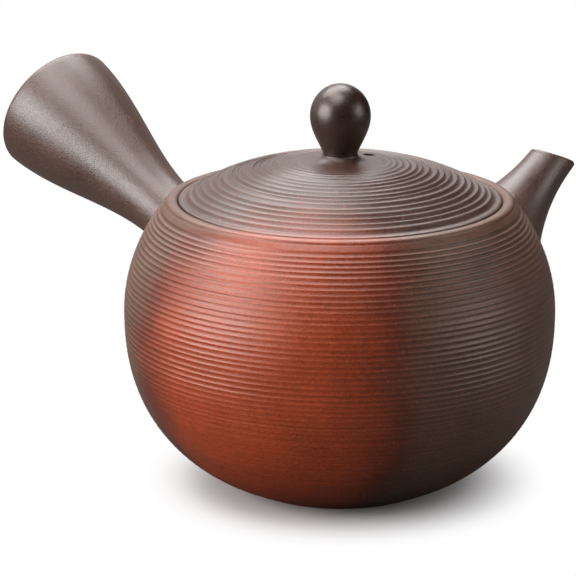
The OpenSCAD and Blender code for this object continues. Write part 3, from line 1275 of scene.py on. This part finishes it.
@dataclass
class Knob:
    """Turned ball knob with a short neck that stands in the slip on the lid.

    Attributes:
        around: Points round the knob.
        seat_z: Height of the lid's seat.
        sink: How far the knob goes below the seat, out of sight.
        foot_share: Width of its hidden foot's inner ring, as a share of the neck.
        neck_h: Height of the neck above the seat.
        neck_d: Width of the neck.
        neck_power: Power of the swell from the neck to the belly.
        neck_rows: Steps from the neck to the belly.
        belly_d: Greatest width.
        belly_h: Height of the greatest width above the seat.
        height: Height of the top above the seat.
        crown_swing: Angle where the crown's last ring lies, in degrees.
        crown_rows: Rings on the crown.
    """

    around: int = 120
    seat_z: float = 83.93
    sink: float = 0.4
    foot_share: float = 0.6
    neck_h: float = 2.1
    neck_d: float = 8.8
    neck_power: float = 1.15
    neck_rows: int = 25
    belly_d: float = 15.3
    belly_h: float = 11.5
    height: float = 19.6
    crown_swing: float = 86.0
    crown_rows: int = 26

    def build(self) -> bpy.types.Object:
        """Makes the knob's mesh.

        Returns:
            The new object, linked to the scene.
        """
        skin = RingSkin("knob_clay", self.around)
        neck_r, belly_r = self.neck_d / 2.0, self.belly_d / 2.0
        skin.add_profile((across, self.seat_z - self.sink) for across in (neck_r * self.foot_share, neck_r))
        for share in np.linspace(0.0, 1.0, self.neck_rows, endpoint=False):
            swell = math.sin(QUARTER_TURN * share) ** self.neck_power
            height = self.seat_z + self.neck_h + (self.belly_h - self.neck_h) * share
            skin.add_turned(neck_r + (belly_r - neck_r) * swell, height)
        for swing in np.radians(np.linspace(0.0, self.crown_swing, self.crown_rows)):
            lift = (self.height - self.belly_h) * math.sin(swing)
            skin.add_turned(belly_r * math.cos(swing), self.seat_z + self.belly_h + lift)
        return skin.build()


Colour = tuple[float, float, float]


def paint(colour: Colour) -> tuple[float, float, float, float]:
    """Colour socket value of a colour.

    Args:
        colour: Red, green and blue as a screen shows them, from 0 to 255.

    Returns:
        Linear red, green and blue from 0 to 1, and a full alpha.
    """
    shares = [c / 255.0 for c in colour]
    linear = [s / 12.92 if s <= 0.04045 else ((s + 0.055) / 1.055) ** 2.4 for s in shares]
    return (linear[0], linear[1], linear[2], 1.0)


@dataclass
class NodeDesk:
    """Adds and links the nodes of one node tree.

    Attributes:
        tree: The node tree.
    """

    tree: bpy.types.NodeTree

    def add(self, kind: str, links: dict[str | int, object] | None = None, **settings: object) -> bpy.types.Node:
        """Adds a node.

        Args:
            kind: Blender's name of the node.
            links: Values or output sockets for the node's inputs, by name or number.
            **settings: Properties of the node.

        Returns:
            The new node.
        """
        node = self.tree.nodes.new(kind)
        for name, value in settings.items():
            setattr(node, name, value)
        for key, value in (links or {}).items():
            if isinstance(value, bpy.types.NodeSocket):
                self.tree.links.new(value, node.inputs[key])
            else:
                node.inputs[key].default_value = value
        return node

    def group(self, tree: bpy.types.NodeTree, links: dict[str | int, object]) -> bpy.types.Node:
        """Places a node group, with values or output sockets for its inputs."""
        return self.add("ShaderNodeGroup", links, node_tree=tree)

    def math(self, operation: str, first: object, second: object = 0.0) -> bpy.types.NodeSocket:
        """Output of a sum of two values."""
        return self.add("ShaderNodeMath", {0: first, 1: second}, operation=operation).outputs[0]

    def vector(self, operation: str, first: object, second: object = (0.0, 0.0, 0.0)) -> bpy.types.NodeSocket:
        """Output of a sum of two vectors, which is a value for a length or a dot product."""
        node = self.add("ShaderNodeVectorMath", {0: first, 1: second}, operation=operation)
        return node.outputs["Value" if operation in ("LENGTH", "DOT_PRODUCT") else "Vector"]

    def noise(self, position: object, scale: float, detail: float) -> bpy.types.NodeSocket:
        """Output of a noise from about 0 to 1."""
        links = {"Vector": position, "Scale": scale, "Detail": detail}
        return self.add("ShaderNodeTexNoise", links).outputs["Fac"]

    def cells(self, position: object, scale: float) -> tuple[bpy.types.NodeSocket, bpy.types.NodeSocket]:
        """Adds scattered cells.

        Args:
            position: Output socket of the place.
            scale: Fineness of the cells.

        Returns:
            Outputs of the distance from a cell's middle and of the cell's own random value.
        """
        links = {"Vector": position, "Scale": scale, "Randomness": 1.0}
        cells = self.add("ShaderNodeTexVoronoi", links).outputs
        return cells["Distance"], self.add("ShaderNodeSeparateColor", {"Color": cells["Color"]}).outputs["Red"]

    def ramp(
        self, value: object, low: object, high: object, start: float = 0.0, stop: float = 1.0
    ) -> bpy.types.NodeSocket:
        """Output of a soft step of a value between two ends."""
        links = {"Value": value, "From Min": low, "From Max": high, "To Min": start, "To Max": stop}
        return self.add("ShaderNodeMapRange", links, interpolation_type="SMOOTHSTEP").outputs["Result"]

    def mix(self, share: object, first: object, second: object, blend: str = "MIX") -> bpy.types.NodeSocket:
        """Output of a mix of two colours."""
        links = {0: share, 6: first, 7: second}
        return self.add("ShaderNodeMix", links, data_type="RGBA", blend_type=blend).outputs[2]


def fresh_desk(owner: bpy.types.Material | bpy.types.World) -> NodeDesk:
    """Empties the node tree of a material or a world.

    Args:
        owner: The material or the world.

    Returns:
        Desk for its nodes.
    """
    owner.use_nodes = True
    owner.node_tree.nodes.clear()
    return NodeDesk(owner.node_tree)


SOCKETS = {"vector": "NodeSocketVector", "value": "NodeSocketFloat", "colour": "NodeSocketColor"}


def new_group(name: str, inputs: dict[str, str], outputs: dict[str, str]) -> tuple[NodeDesk, bpy.types.Node]:
    """Starts a shader node group.

    Args:
        name: Name of the group.
        inputs: Kind of each input by name.
        outputs: Kind of each output by name.

    Returns:
        The desk for its nodes, and its input node.
    """
    tree = bpy.data.node_groups.new(name, "ShaderNodeTree")
    for direction, sockets in (("INPUT", inputs), ("OUTPUT", outputs)):
        for socket, kind in sockets.items():
            tree.interface.new_socket(socket, in_out=direction, socket_type=SOCKETS[kind])
    desk = NodeDesk(tree)
    return desk, desk.add("NodeGroupInput")


@dataclass
class ClayEffects:
    """Shader node groups that the clay finishes share.

    Attributes:
        sand_scale: Fineness of the sand and the grit.
        sand_detail: Finer layers in the sand.
        grit_tone: Share of the grit in the clay's tone, the rest is clouds.
        grit_height: Height of the grit beside the sand.
        cloud_scale: Fineness of the clouds.
        cloud_detail: Finer layers in the clouds.
        speck_scale: Fineness of the specks.
        speck_edge: Distances from a speck's middle where it ends and is full.
        drift: Fineness, finer layers and strength of the slow waves in the flush's edge.
        dust: Fineness, finer layers and strength of the dust in the flush's edge.
        crest_span: Comb marks where a crest starts and is full.
        groove_span: Comb marks where a groove starts and is full.
        groove_shade: How much darker a groove is.
        crest_polish: How much smoother a crest is.
        tone_roughness: How much rougher the lighter grains are.
    """

    sand_scale: float = 2600.0
    sand_detail: float = 3.0
    grit_tone: float = 0.45
    grit_height: float = 0.3
    cloud_scale: float = 95.0
    cloud_detail: float = 4.0
    speck_scale: float = 900.0
    speck_edge: tuple[float, float] = (0.34, 0.18)
    drift: tuple[float, float, float] = (32.0, 3.0, 0.6)
    dust: tuple[float, float, float] = (1500.0, 2.0, 0.12)
    crest_span: tuple[float, float] = (0.55, 1.0)
    groove_span: tuple[float, float] = (0.35, 0.0)
    groove_shade: float = 0.4
    crest_polish: float = 0.04
    tone_roughness: float = 0.25

    def __post_init__(self) -> None:
        """Builds the groups."""
        self.grain = self.build_grain()
        self.flash = self.build_flash()
        self.comb = self.build_comb()

    def build_grain(self) -> bpy.types.NodeTree:
        """Fine sand, soft clouds and specks of unglazed clay.

        Returns:
            The new group.
        """
        desk, source = new_group(
            "clay_grain",
            {"Position": "vector", "Speck Share": "value"},
            {"Tone": "value", "Specks": "value", "Height": "value"},
        )
        given = source.outputs
        position = given["Position"]
        sand = desk.noise(position, self.sand_scale, self.sand_detail)
        grit = desk.cells(position, self.sand_scale)[1]
        clouds = desk.noise(position, self.cloud_scale, self.cloud_detail)
        gritty = desk.math("MULTIPLY", grit, self.grit_tone)
        cloudy = desk.math("MULTIPLY", clouds, 1.0 - self.grit_tone)
        away, pick = desk.cells(position, self.speck_scale)
        chosen = desk.math("LESS_THAN", pick, given["Speck Share"])
        made = {
            "Tone": desk.math("ADD", gritty, cloudy),
            "Specks": desk.math("MULTIPLY", desk.ramp(away, *self.speck_edge), chosen),
            "Height": desk.math("ADD", sand, desk.math("MULTIPLY", grit, self.grit_height)),
        }
        desk.add("NodeGroupOutput", made)
        return desk.tree

    def build_flash(self) -> bpy.types.NodeTree:
        """Red flush that the fire leaves on one side, with a ragged edge.

        Returns:
            The new group.
        """
        desk, source = new_group(
            "kiln_flash",
            {
                "Position": "vector",
                "Heart": "vector",
                "Lean": "vector",
                "Squat": "vector",
                "Edge": "value",
                "Softness": "value",
                "Ragged": "value",
            },
            {"Flush": "value"},
        )
        given = source.outputs
        position = given["Position"]
        offset = desk.vector("SUBTRACT", position, (0.0, 0.0, WALL.belly_z * MM))
        rise = desk.math("MAXIMUM", desk.add("ShaderNodeSeparateXYZ", {0: offset}).outputs["Z"], 0.0)
        shift = desk.add("ShaderNodeVectorMath", {0: given["Lean"], "Scale": rise}, operation="SCALE")
        leaned = desk.vector("ADD", offset, shift.outputs["Vector"])
        away = desk.vector("NORMALIZE", desk.vector("MULTIPLY", leaned, given["Squat"]))
        near = desk.vector("DOT_PRODUCT", away, given["Heart"])
        waves = []
        for scale, detail, strength in (self.drift, self.dust):
            wave = desk.math("SUBTRACT", desk.noise(position, scale, detail), 0.5)
            waves.append(desk.math("MULTIPLY", wave, strength))
        ragged = desk.math("MULTIPLY", desk.math("ADD", *waves), given["Ragged"])
        reach = desk.math("ADD", near, ragged)
        low, high = (desk.math(way, given["Edge"], given["Softness"]) for way in ("SUBTRACT", "ADD"))
        desk.add("NodeGroupOutput", {"Flush": desk.ramp(reach, low, high)})
        return desk.tree

    def build_comb(self) -> bpy.types.NodeTree:
        """Crests of combed clay made lighter, partly for burnish and partly as a painted highlight, and grooves made
        darker as painted shade.

        Returns:
            The new group.
        """
        desk, source = new_group(
            "comb_wear_and_light",
            {
                "Colour": "colour",
                "Crest Wear And Highlight": "colour",
                "Comb": "value",
                "Wear And Painted Light": "value",
                "Tone": "value",
                "Dullness": "value",
            },
            {"Colour": "colour", "Roughness": "value"},
        )
        given = source.outputs
        crest = desk.ramp(given["Comb"], *self.crest_span)
        groove = desk.ramp(given["Comb"], *self.groove_span)
        # Crests take the crest colour, lighter partly for wear and partly as a painted highlight; below, the grooves
        # are darkened as painted shade.
        comb_painted = desk.mix(desk.math("MULTIPLY", crest, given["Wear And Painted Light"]), given["Colour"], given["Crest Wear And Highlight"])
        depth = desk.math("MULTIPLY", groove, desk.math("MULTIPLY", given["Wear And Painted Light"], self.groove_shade))
        level = desk.math("MULTIPLY", desk.math("SUBTRACT", 1.0, depth), desk.math("ADD", 0.5, given["Tone"]))
        grey = desk.add("ShaderNodeCombineColor", {"Red": level, "Green": level, "Blue": level}).outputs[0]
        polish = desk.math("MULTIPLY", crest, -self.crest_polish)
        sandy = desk.math("MULTIPLY", desk.math("SUBTRACT", given["Tone"], 0.5), self.tone_roughness)
        made = {
            "Colour": desk.mix(1.0, comb_painted, grey, "MULTIPLY"),
            "Roughness": desk.math("ADD", given["Dullness"], desk.math("ADD", polish, sandy)),
        }
        desk.add("NodeGroupOutput", made)
        return desk.tree


@dataclass(frozen=True)
class ClayFinish:
    """Unglazed clay, fired grey with a red flush where the fire reached it.

    Attributes:
        name: Name of the material.
        grey: Colour away from the flush.
        flush_edge: Colour at the edge of the flush; in the red clays it is much darker than the red, partly the flush
            fading and partly painted shade.
        red: Colour in the flush.
        crest_wear_and_highlight_grey: Colour of the crests away from the flush, lighter partly for wear and partly as
            a painted highlight.
        crest_wear_and_highlight_red: Colour of the crests in the flush, lighter partly for wear and partly as a
            painted highlight.
        speck: Colour of the specks.
        speck_share: Share of the specks that show.
        heart: Direction of the flush from the belly's middle.
        lean: How far the flush leans round the pot above the belly, for each unit of height.
        squat: Height of the pot as the flush sees it, less than 1 for a tall flush.
        edge: Nearness to the heart where the flush is half gone, from -1 to 1.
        softness: Half width of the flush's edge.
        ragged: How ragged the edge is.
        flush_edge_span: Strengths of the flush between which grey turns to the edge colour.
        red_span: Strengths of the flush between which the edge colour turns to red.
        wear_and_painted_light: How far the comb's crests and grooves part from the plain colour, the crests lighter
            for wear and as a painted highlight, the grooves darker as painted shade.
        dullness: Roughness of the plain clay.
        grain: Strength of the grain's bump.
        grain_h: Height of the grain in metres.
        sheen: Specular level of the clay.
        gloss: Colour of the clay's gloss.
    """

    name: str
    grey: Colour
    flush_edge: Colour
    red: Colour
    crest_wear_and_highlight_grey: Colour
    crest_wear_and_highlight_red: Colour
    speck: Colour
    speck_share: float
    heart: tuple[float, float, float] = (-0.918, -0.371, -0.14)
    lean: tuple[float, float, float] = (-0.18, 0.27, 0.0)
    squat: float = 0.45
    edge: float = 0.805
    softness: float = 0.19
    ragged: float = 0.5
    flush_edge_span: tuple[float, float] = (0.0, 0.55)
    red_span: tuple[float, float] = (0.35, 1.0)
    wear_and_painted_light: float = 0.25
    dullness: float = 0.39
    grain: float = 0.35
    grain_h: float = 0.0002
    sheen: float = 0.92
    gloss: Colour = (255, 255, 255)

    def build(self, effects: ClayEffects) -> bpy.types.Material:
        """Makes the material.

        Args:
            effects: Shared node groups.

        Returns:
            The new material.
        """
        material = bpy.data.materials.new(self.name)
        desk = fresh_desk(material)
        position = desk.add("ShaderNodeTexCoord").outputs["Object"]
        grain = desk.group(effects.grain, {"Position": position, "Speck Share": self.speck_share}).outputs
        flash = {
            "Position": position,
            "Heart": self.heart,
            "Lean": self.lean,
            "Squat": (1.0, 1.0, self.squat),
            "Edge": self.edge,
            "Softness": self.softness,
            "Ragged": self.ragged,
        }
        flush = desk.group(effects.flash, flash).outputs["Flush"]
        # The edge colour of the red clays is much darker than their red: partly the flush fading, partly painted
        # shade at its edge.
        edge_mix = desk.mix(desk.ramp(flush, *self.flush_edge_span), paint(self.grey), paint(self.flush_edge))
        clay = desk.mix(desk.ramp(flush, *self.red_span), edge_mix, paint(self.red))
        comb = {
            "Colour": desk.mix(grain["Specks"], clay, paint(self.speck)),
            # The crest colour is lighter than the clay: partly wear, partly a painted highlight.
            "Crest Wear And Highlight": desk.mix(flush, paint(self.crest_wear_and_highlight_grey), paint(self.crest_wear_and_highlight_red)),
            "Comb": desk.add("ShaderNodeAttribute", attribute_name=COMB).outputs["Fac"],
            "Wear And Painted Light": self.wear_and_painted_light,
            "Tone": grain["Tone"],
            "Dullness": self.dullness,
        }
        comb_painted = desk.group(effects.comb, comb).outputs
        bump = {"Strength": self.grain, "Distance": self.grain_h, "Height": grain["Height"]}
        surface = {
            "Base Color": comb_painted["Colour"],
            "Roughness": comb_painted["Roughness"],
            "Normal": desk.add("ShaderNodeBump", bump).outputs[0],
            "Specular IOR Level": self.sheen,
            "Specular Tint": paint(self.gloss),
        }
        shader = desk.add("ShaderNodeBsdfPrincipled", surface)
        desk.add("ShaderNodeOutputMaterial", {"Surface": shader.outputs[0]})
        return material


RED_CLAY = ClayFinish(
    name="red_flushed_clay",
    grey=(98, 67, 53),
    # Much darker than the red: partly the flush fading, partly painted shade at its edge.
    flush_edge=(101, 37, 13),
    red=(157, 58, 16),
    crest_wear_and_highlight_grey=(108, 80, 68),
    crest_wear_and_highlight_red=(172, 82, 46),
    speck=(138, 64, 38),
    speck_share=0.10,
    gloss=(255, 246, 240),
)
LID_CLAY = replace(
    RED_CLAY,
    name="red_rimmed_clay",
    # Darker than the body's grey: painted shade on the lid's top, which the lamps light more strongly than the wall.
    grey=(76, 51, 41),
    # Darker than the red: partly the flush fading, partly painted shade at its edge.
    flush_edge=(94, 43, 24),
    red=(140, 60, 29),
    heart=(-0.926, -0.374, -0.04),
    squat=0.68,
    # Stronger painted highlight on the crests and painted shade in the grooves of the lid.
    wear_and_painted_light=0.5,
    gloss=(255, 255, 255),
)
GREY_CLAY = ClayFinish(
    name="smooth_grey_clay",
    grey=(81, 56, 45),
    flush_edge=(90, 58, 46),
    red=(98, 58, 45),
    crest_wear_and_highlight_grey=(94, 68, 56),
    crest_wear_and_highlight_red=(108, 68, 54),
    speck=(112, 68, 54),
    speck_share=0.08,
    dullness=0.36,
)
INNER_CLAY = ClayFinish(
    name="inner_red_clay",
    grey=(108, 66, 50),
    flush_edge=(116, 66, 48),
    red=(126, 66, 46),
    crest_wear_and_highlight_grey=(118, 76, 60),
    crest_wear_and_highlight_red=(134, 76, 58),
    speck=(90, 56, 44),
    speck_share=0.12,
    dullness=0.66,
)
DARK_CLAY = ClayFinish(
    name="burnished_dark_clay",
    grey=(43, 23, 15),
    flush_edge=(44, 23, 14),
    red=(44, 23, 14),
    crest_wear_and_highlight_grey=(46, 28, 22),
    crest_wear_and_highlight_red=(48, 28, 22),
    speck=(56, 32, 24),
    speck_share=0.04,
    dullness=0.36,
    sheen=1.0,
    gloss=(255, 240, 234),
    grain=0.14,
)


@dataclass(frozen=True)
class SoftBox:
    """A studio lamp with a broad face that is turned to the pot.

    Attributes:
        name: Name of the lamp.
        at: Place of the lamp in metres.
        size: Width and height of its face in metres.
        power: Power in watts.
    """

    name: str
    at: tuple[float, float, float]
    size: tuple[float, float]
    power: float

    def build(self) -> None:
        """Adds the lamp to the scene."""
        lamp = bpy.data.lights.new(self.name, "AREA")
        lamp.shape = "RECTANGLE"
        lamp.size, lamp.size_y = self.size
        lamp.energy = self.power
        obj = put(self.name, lamp)
        obj.location = self.at
        obj.rotation_euler = (Vector(POT_MIDDLE) - obj.location).to_track_quat("-Z", "Y").to_euler()


LAMPS = (
    SoftBox("key", (-0.94, 0.36, 0.36), (0.8, 0.68), 11.4),
    SoftBox("fill", (0.58, -0.85, 0.36), (0.6, 0.5), 2.4),
    SoftBox("sky", (-0.37, -0.04, 1.17), (0.75, 0.75), 8.4),
    SoftBox("back", (0.23, 0.61, 1.06), (1.3, 0.8), 19.0),
)


def white_share(desk: NodeDesk, path: bpy.types.Node, gloss_share: object) -> bpy.types.NodeSocket:
    """Share of white that a ray sees: all from the camera or through glass, less from gloss.

    Args:
        desk: Desk of the material or the world.
        path: Its light path node.
        gloss_share: Share that gloss shows.

    Returns:
        The share's output.
    """
    clear = desk.math("ADD", path.outputs["Is Camera Ray"], path.outputs["Is Transmission Ray"])
    gloss = desk.math("MULTIPLY", path.outputs["Is Glossy Ray"], gloss_share)
    return desk.math("MINIMUM", desk.math("ADD", clear, gloss), 1.0)


@dataclass
class Studio:
    """White floor, white surround, soft lamps and the camera.

    Attributes:
        azimuth: Camera's direction seen from above, in degrees.
        elevation: Camera's height above level, in degrees.
        distance: Camera's distance from the pot's middle, in metres.
        focal_px: Focal length in pixels of the photograph.
        frame_px: Width of the photograph in pixels.
        sensor_mm: Width of the camera's sensor.
        clip: Nearest and farthest distance that the camera sees, in metres.
        aim_px: Place of the pot's middle in the picture, in pixels right of and above the picture's middle.
        floor_size: Width of the floor in metres.
        paper: Colour of the floor in the pot's shadow, warmed as painted light for the red that the pot throws into
            its shadow.
        card: Colour of the floor in the light that it gives back to the pot.
        floor_gloss: Share of the white floor that gloss shows.
        shade_span: Distances from the pot's axis where a painted white glow starts to cover the shadow and covers it
            fully, in metres.
        ambient: Strength of the light from all round.
        dark_way: Direction of the unlit part of the room.
        dark_front: Nearness to that direction where the room is lit and where it is dark.
        dark_gloss: Share of white that gloss shows in the unlit part.
        gloss_share: Share of white that gloss shows in the lit part.
        dark_roof: Heights where the room is lit and where its roof is dark.
        roof_gloss: Share of the room's light that is left at the roof.
    """

    azimuth: float = -44.0
    elevation: float = 15.79
    distance: float = 0.7
    focal_px: float = 2741.4
    frame_px: float = 576.0
    sensor_mm: float = 36.0
    clip: tuple[float, float] = (0.01, 50.0)
    aim_px: tuple[float, float] = (51.5, -1.5)
    floor_size: float = 14.0
    paper: tuple[float, float, float, float] = (0.8, 0.75, 0.74, 1.0)
    card: tuple[float, float, float, float] = (0.085, 0.081, 0.079, 1.0)
    floor_gloss: float = 0.02
    shade_span: tuple[float, float] = (0.028, 0.055)
    ambient: float = 0.18
    dark_way: tuple[float, float, float] = (0.309, -0.951, 0.0)
    dark_front: tuple[float, float] = (-0.35, 0.05)
    dark_gloss: float = 0.02
    gloss_share: float = 0.6
    dark_roof: tuple[float, float] = (0.35, 0.65)
    roof_gloss: float = 0.2

    def toward_camera(self) -> Vector:
        """Direction from the pot to the camera."""
        turn, lift = math.radians(self.azimuth), math.radians(self.elevation)
        return Vector((math.sin(turn) * math.cos(lift), -math.cos(turn) * math.cos(lift), math.sin(lift)))

    def build_camera(self) -> None:
        """Adds the camera at the photograph's angle."""
        data = bpy.data.cameras.new("camera")
        data.sensor_width = self.sensor_mm
        data.lens = self.sensor_mm * self.focal_px / self.frame_px
        data.clip_start, data.clip_end = self.clip
        obj = put("camera", data)
        back = self.toward_camera()
        side = Vector((0.0, 0.0, 1.0)).cross(back).normalized()
        up = back.cross(side)
        middle = Vector(POT_MIDDLE)
        obj.location = middle + back * self.distance
        pixel = self.distance / self.focal_px
        look_at = middle - side * self.aim_px[0] * pixel - up * self.aim_px[1] * pixel
        obj.rotation_euler = (look_at - obj.location).to_track_quat("-Z", "Y").to_euler()
        bpy.context.scene.camera = obj

    def build_floor(self) -> None:
        """Adds the floor, which is white to the camera and keeps the pot's shadow near it; further out a painted
        white glow, seen only by the camera, covers the shadow.
        """
        mesh = bpy.data.meshes.new("floor")
        half = self.floor_size / 2.0
        corners = [(-half, -half, 0.0), (half, -half, 0.0), (half, half, 0.0), (-half, half, 0.0)]
        mesh.from_pydata(corners, [], [(0, 1, 2, 3)])
        floor = put("floor", mesh)
        material = bpy.data.materials.new("white_floor")
        desk = fresh_desk(material)
        seen = white_share(desk, desk.add("ShaderNodeLightPath"), self.floor_gloss)
        away = desk.vector("LENGTH", desk.add("ShaderNodeTexCoord").outputs["Object"])
        # Painted light: a white glow, seen only by the camera, grows with distance from the pot and covers its
        # shadow.
        share = desk.ramp(away, *self.shade_span)
        # The paper's warm tint paints the red light that the pot throws into its shadow.
        paper = desk.add("ShaderNodeBsdfDiffuse", {"Color": self.paper}).outputs[0]
        glow = desk.add("ShaderNodeEmission", {"Color": WHITE, "Strength": 1.0}).outputs[0]
        bright = desk.add("ShaderNodeMixShader", {0: share, 1: paper, 2: glow}).outputs[0]
        card = desk.add("ShaderNodeBsdfDiffuse", {"Color": self.card}).outputs[0]
        both = desk.add("ShaderNodeMixShader", {0: seen, 1: card, 2: bright}).outputs[0]
        desk.add("ShaderNodeOutputMaterial", {"Surface": both})
        mesh.materials.append(material)

    def build_world(self) -> None:
        """Lights the scene softly from all round, on white."""
        world = bpy.data.worlds.new("surround")
        bpy.context.scene.world = world
        desk = fresh_desk(world)
        path = desk.add("ShaderNodeLightPath")
        way = desk.add("ShaderNodeTexCoord").outputs["Generated"]
        facing = desk.vector("DOT_PRODUCT", way, self.dark_way)
        height = desk.add("ShaderNodeSeparateXYZ", {0: way}).outputs["Z"]
        (lit, dark), (low, high) = self.dark_front, self.dark_roof
        around = desk.ramp(facing, dark, lit, self.dark_gloss, self.gloss_share)
        room = desk.math("MULTIPLY", around, desk.ramp(height, high, low, self.roof_gloss, 1.0))
        seen = white_share(desk, path, room)
        dull = desk.math("SUBTRACT", 1.0, path.outputs["Is Glossy Ray"])
        dim = desk.math("MULTIPLY", dull, self.ambient)
        soft = desk.add("ShaderNodeBackground", {"Color": WHITE, "Strength": dim}).outputs[0]
        white = desk.add("ShaderNodeBackground", {"Color": WHITE, "Strength": 1.0}).outputs[0]
        both = desk.add("ShaderNodeMixShader", {0: seen, 1: soft, 2: white}).outputs[0]
        desk.add("ShaderNodeOutputWorld", {"Surface": both})

    def build(self) -> None:
        """Makes the whole studio."""
        bpy.context.scene.view_settings.view_transform = "Standard"
        self.build_camera()
        self.build_floor()
        self.build_world()
        for lamp in LAMPS:
            lamp.build()


def dress(obj: bpy.types.Object, finish: bpy.types.Material, body: CadBody, slot: Slot, node: str) -> None:
    """Gives a piece its finish and its place in the frame.

    Args:
        obj: The piece.
        finish: Its material.
        body: CAD body that it rides on.
        slot: Slot of the record that the finish stands for; not used.
        node: CAD node that it replaces.
    """
    obj.data.materials.clear()
    obj.data.materials.append(finish)
    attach(obj, body.value)
    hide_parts(node)
    LOG.info("%s replaces %s on %s, %d faces", obj.name, node, body.value, len(obj.data.polygons))


def main() -> None:
    """Builds the studio and every piece of the teapot."""
    logging.basicConfig(level=logging.INFO, format="%(name)s: %(message)s")
    Studio().build()
    effects = ClayEffects()
    finishes = {
        Slot.RED: RED_CLAY.build(effects),
        Slot.GREY: GREY_CLAY.build(effects),
        Slot.INNER: INNER_CLAY.build(effects),
        Slot.DARK: DARK_CLAY.build(effects),
    }
    dress(PotBody().build(), finishes[Slot.RED], CadBody.POT, Slot.RED, "body")
    dress(Spout().build(), finishes[Slot.GREY], CadBody.POT, Slot.GREY, "spout")
    dress(Handle().build(), finishes[Slot.GREY], CadBody.POT, Slot.GREY, "handle")
    dress(Lid().build(), LID_CLAY.build(effects), CadBody.LID, Slot.RED, "lid")
    dress(Knob().build(), finishes[Slot.DARK], CadBody.LID, Slot.DARK, "knob")
    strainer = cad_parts["strainer"]
    strainer.data.materials.clear()
    strainer.data.materials.append(finishes[Slot.INNER])
    LOG.info("strainer keeps its CAD shape")


if __name__ == "__main__":
    main()
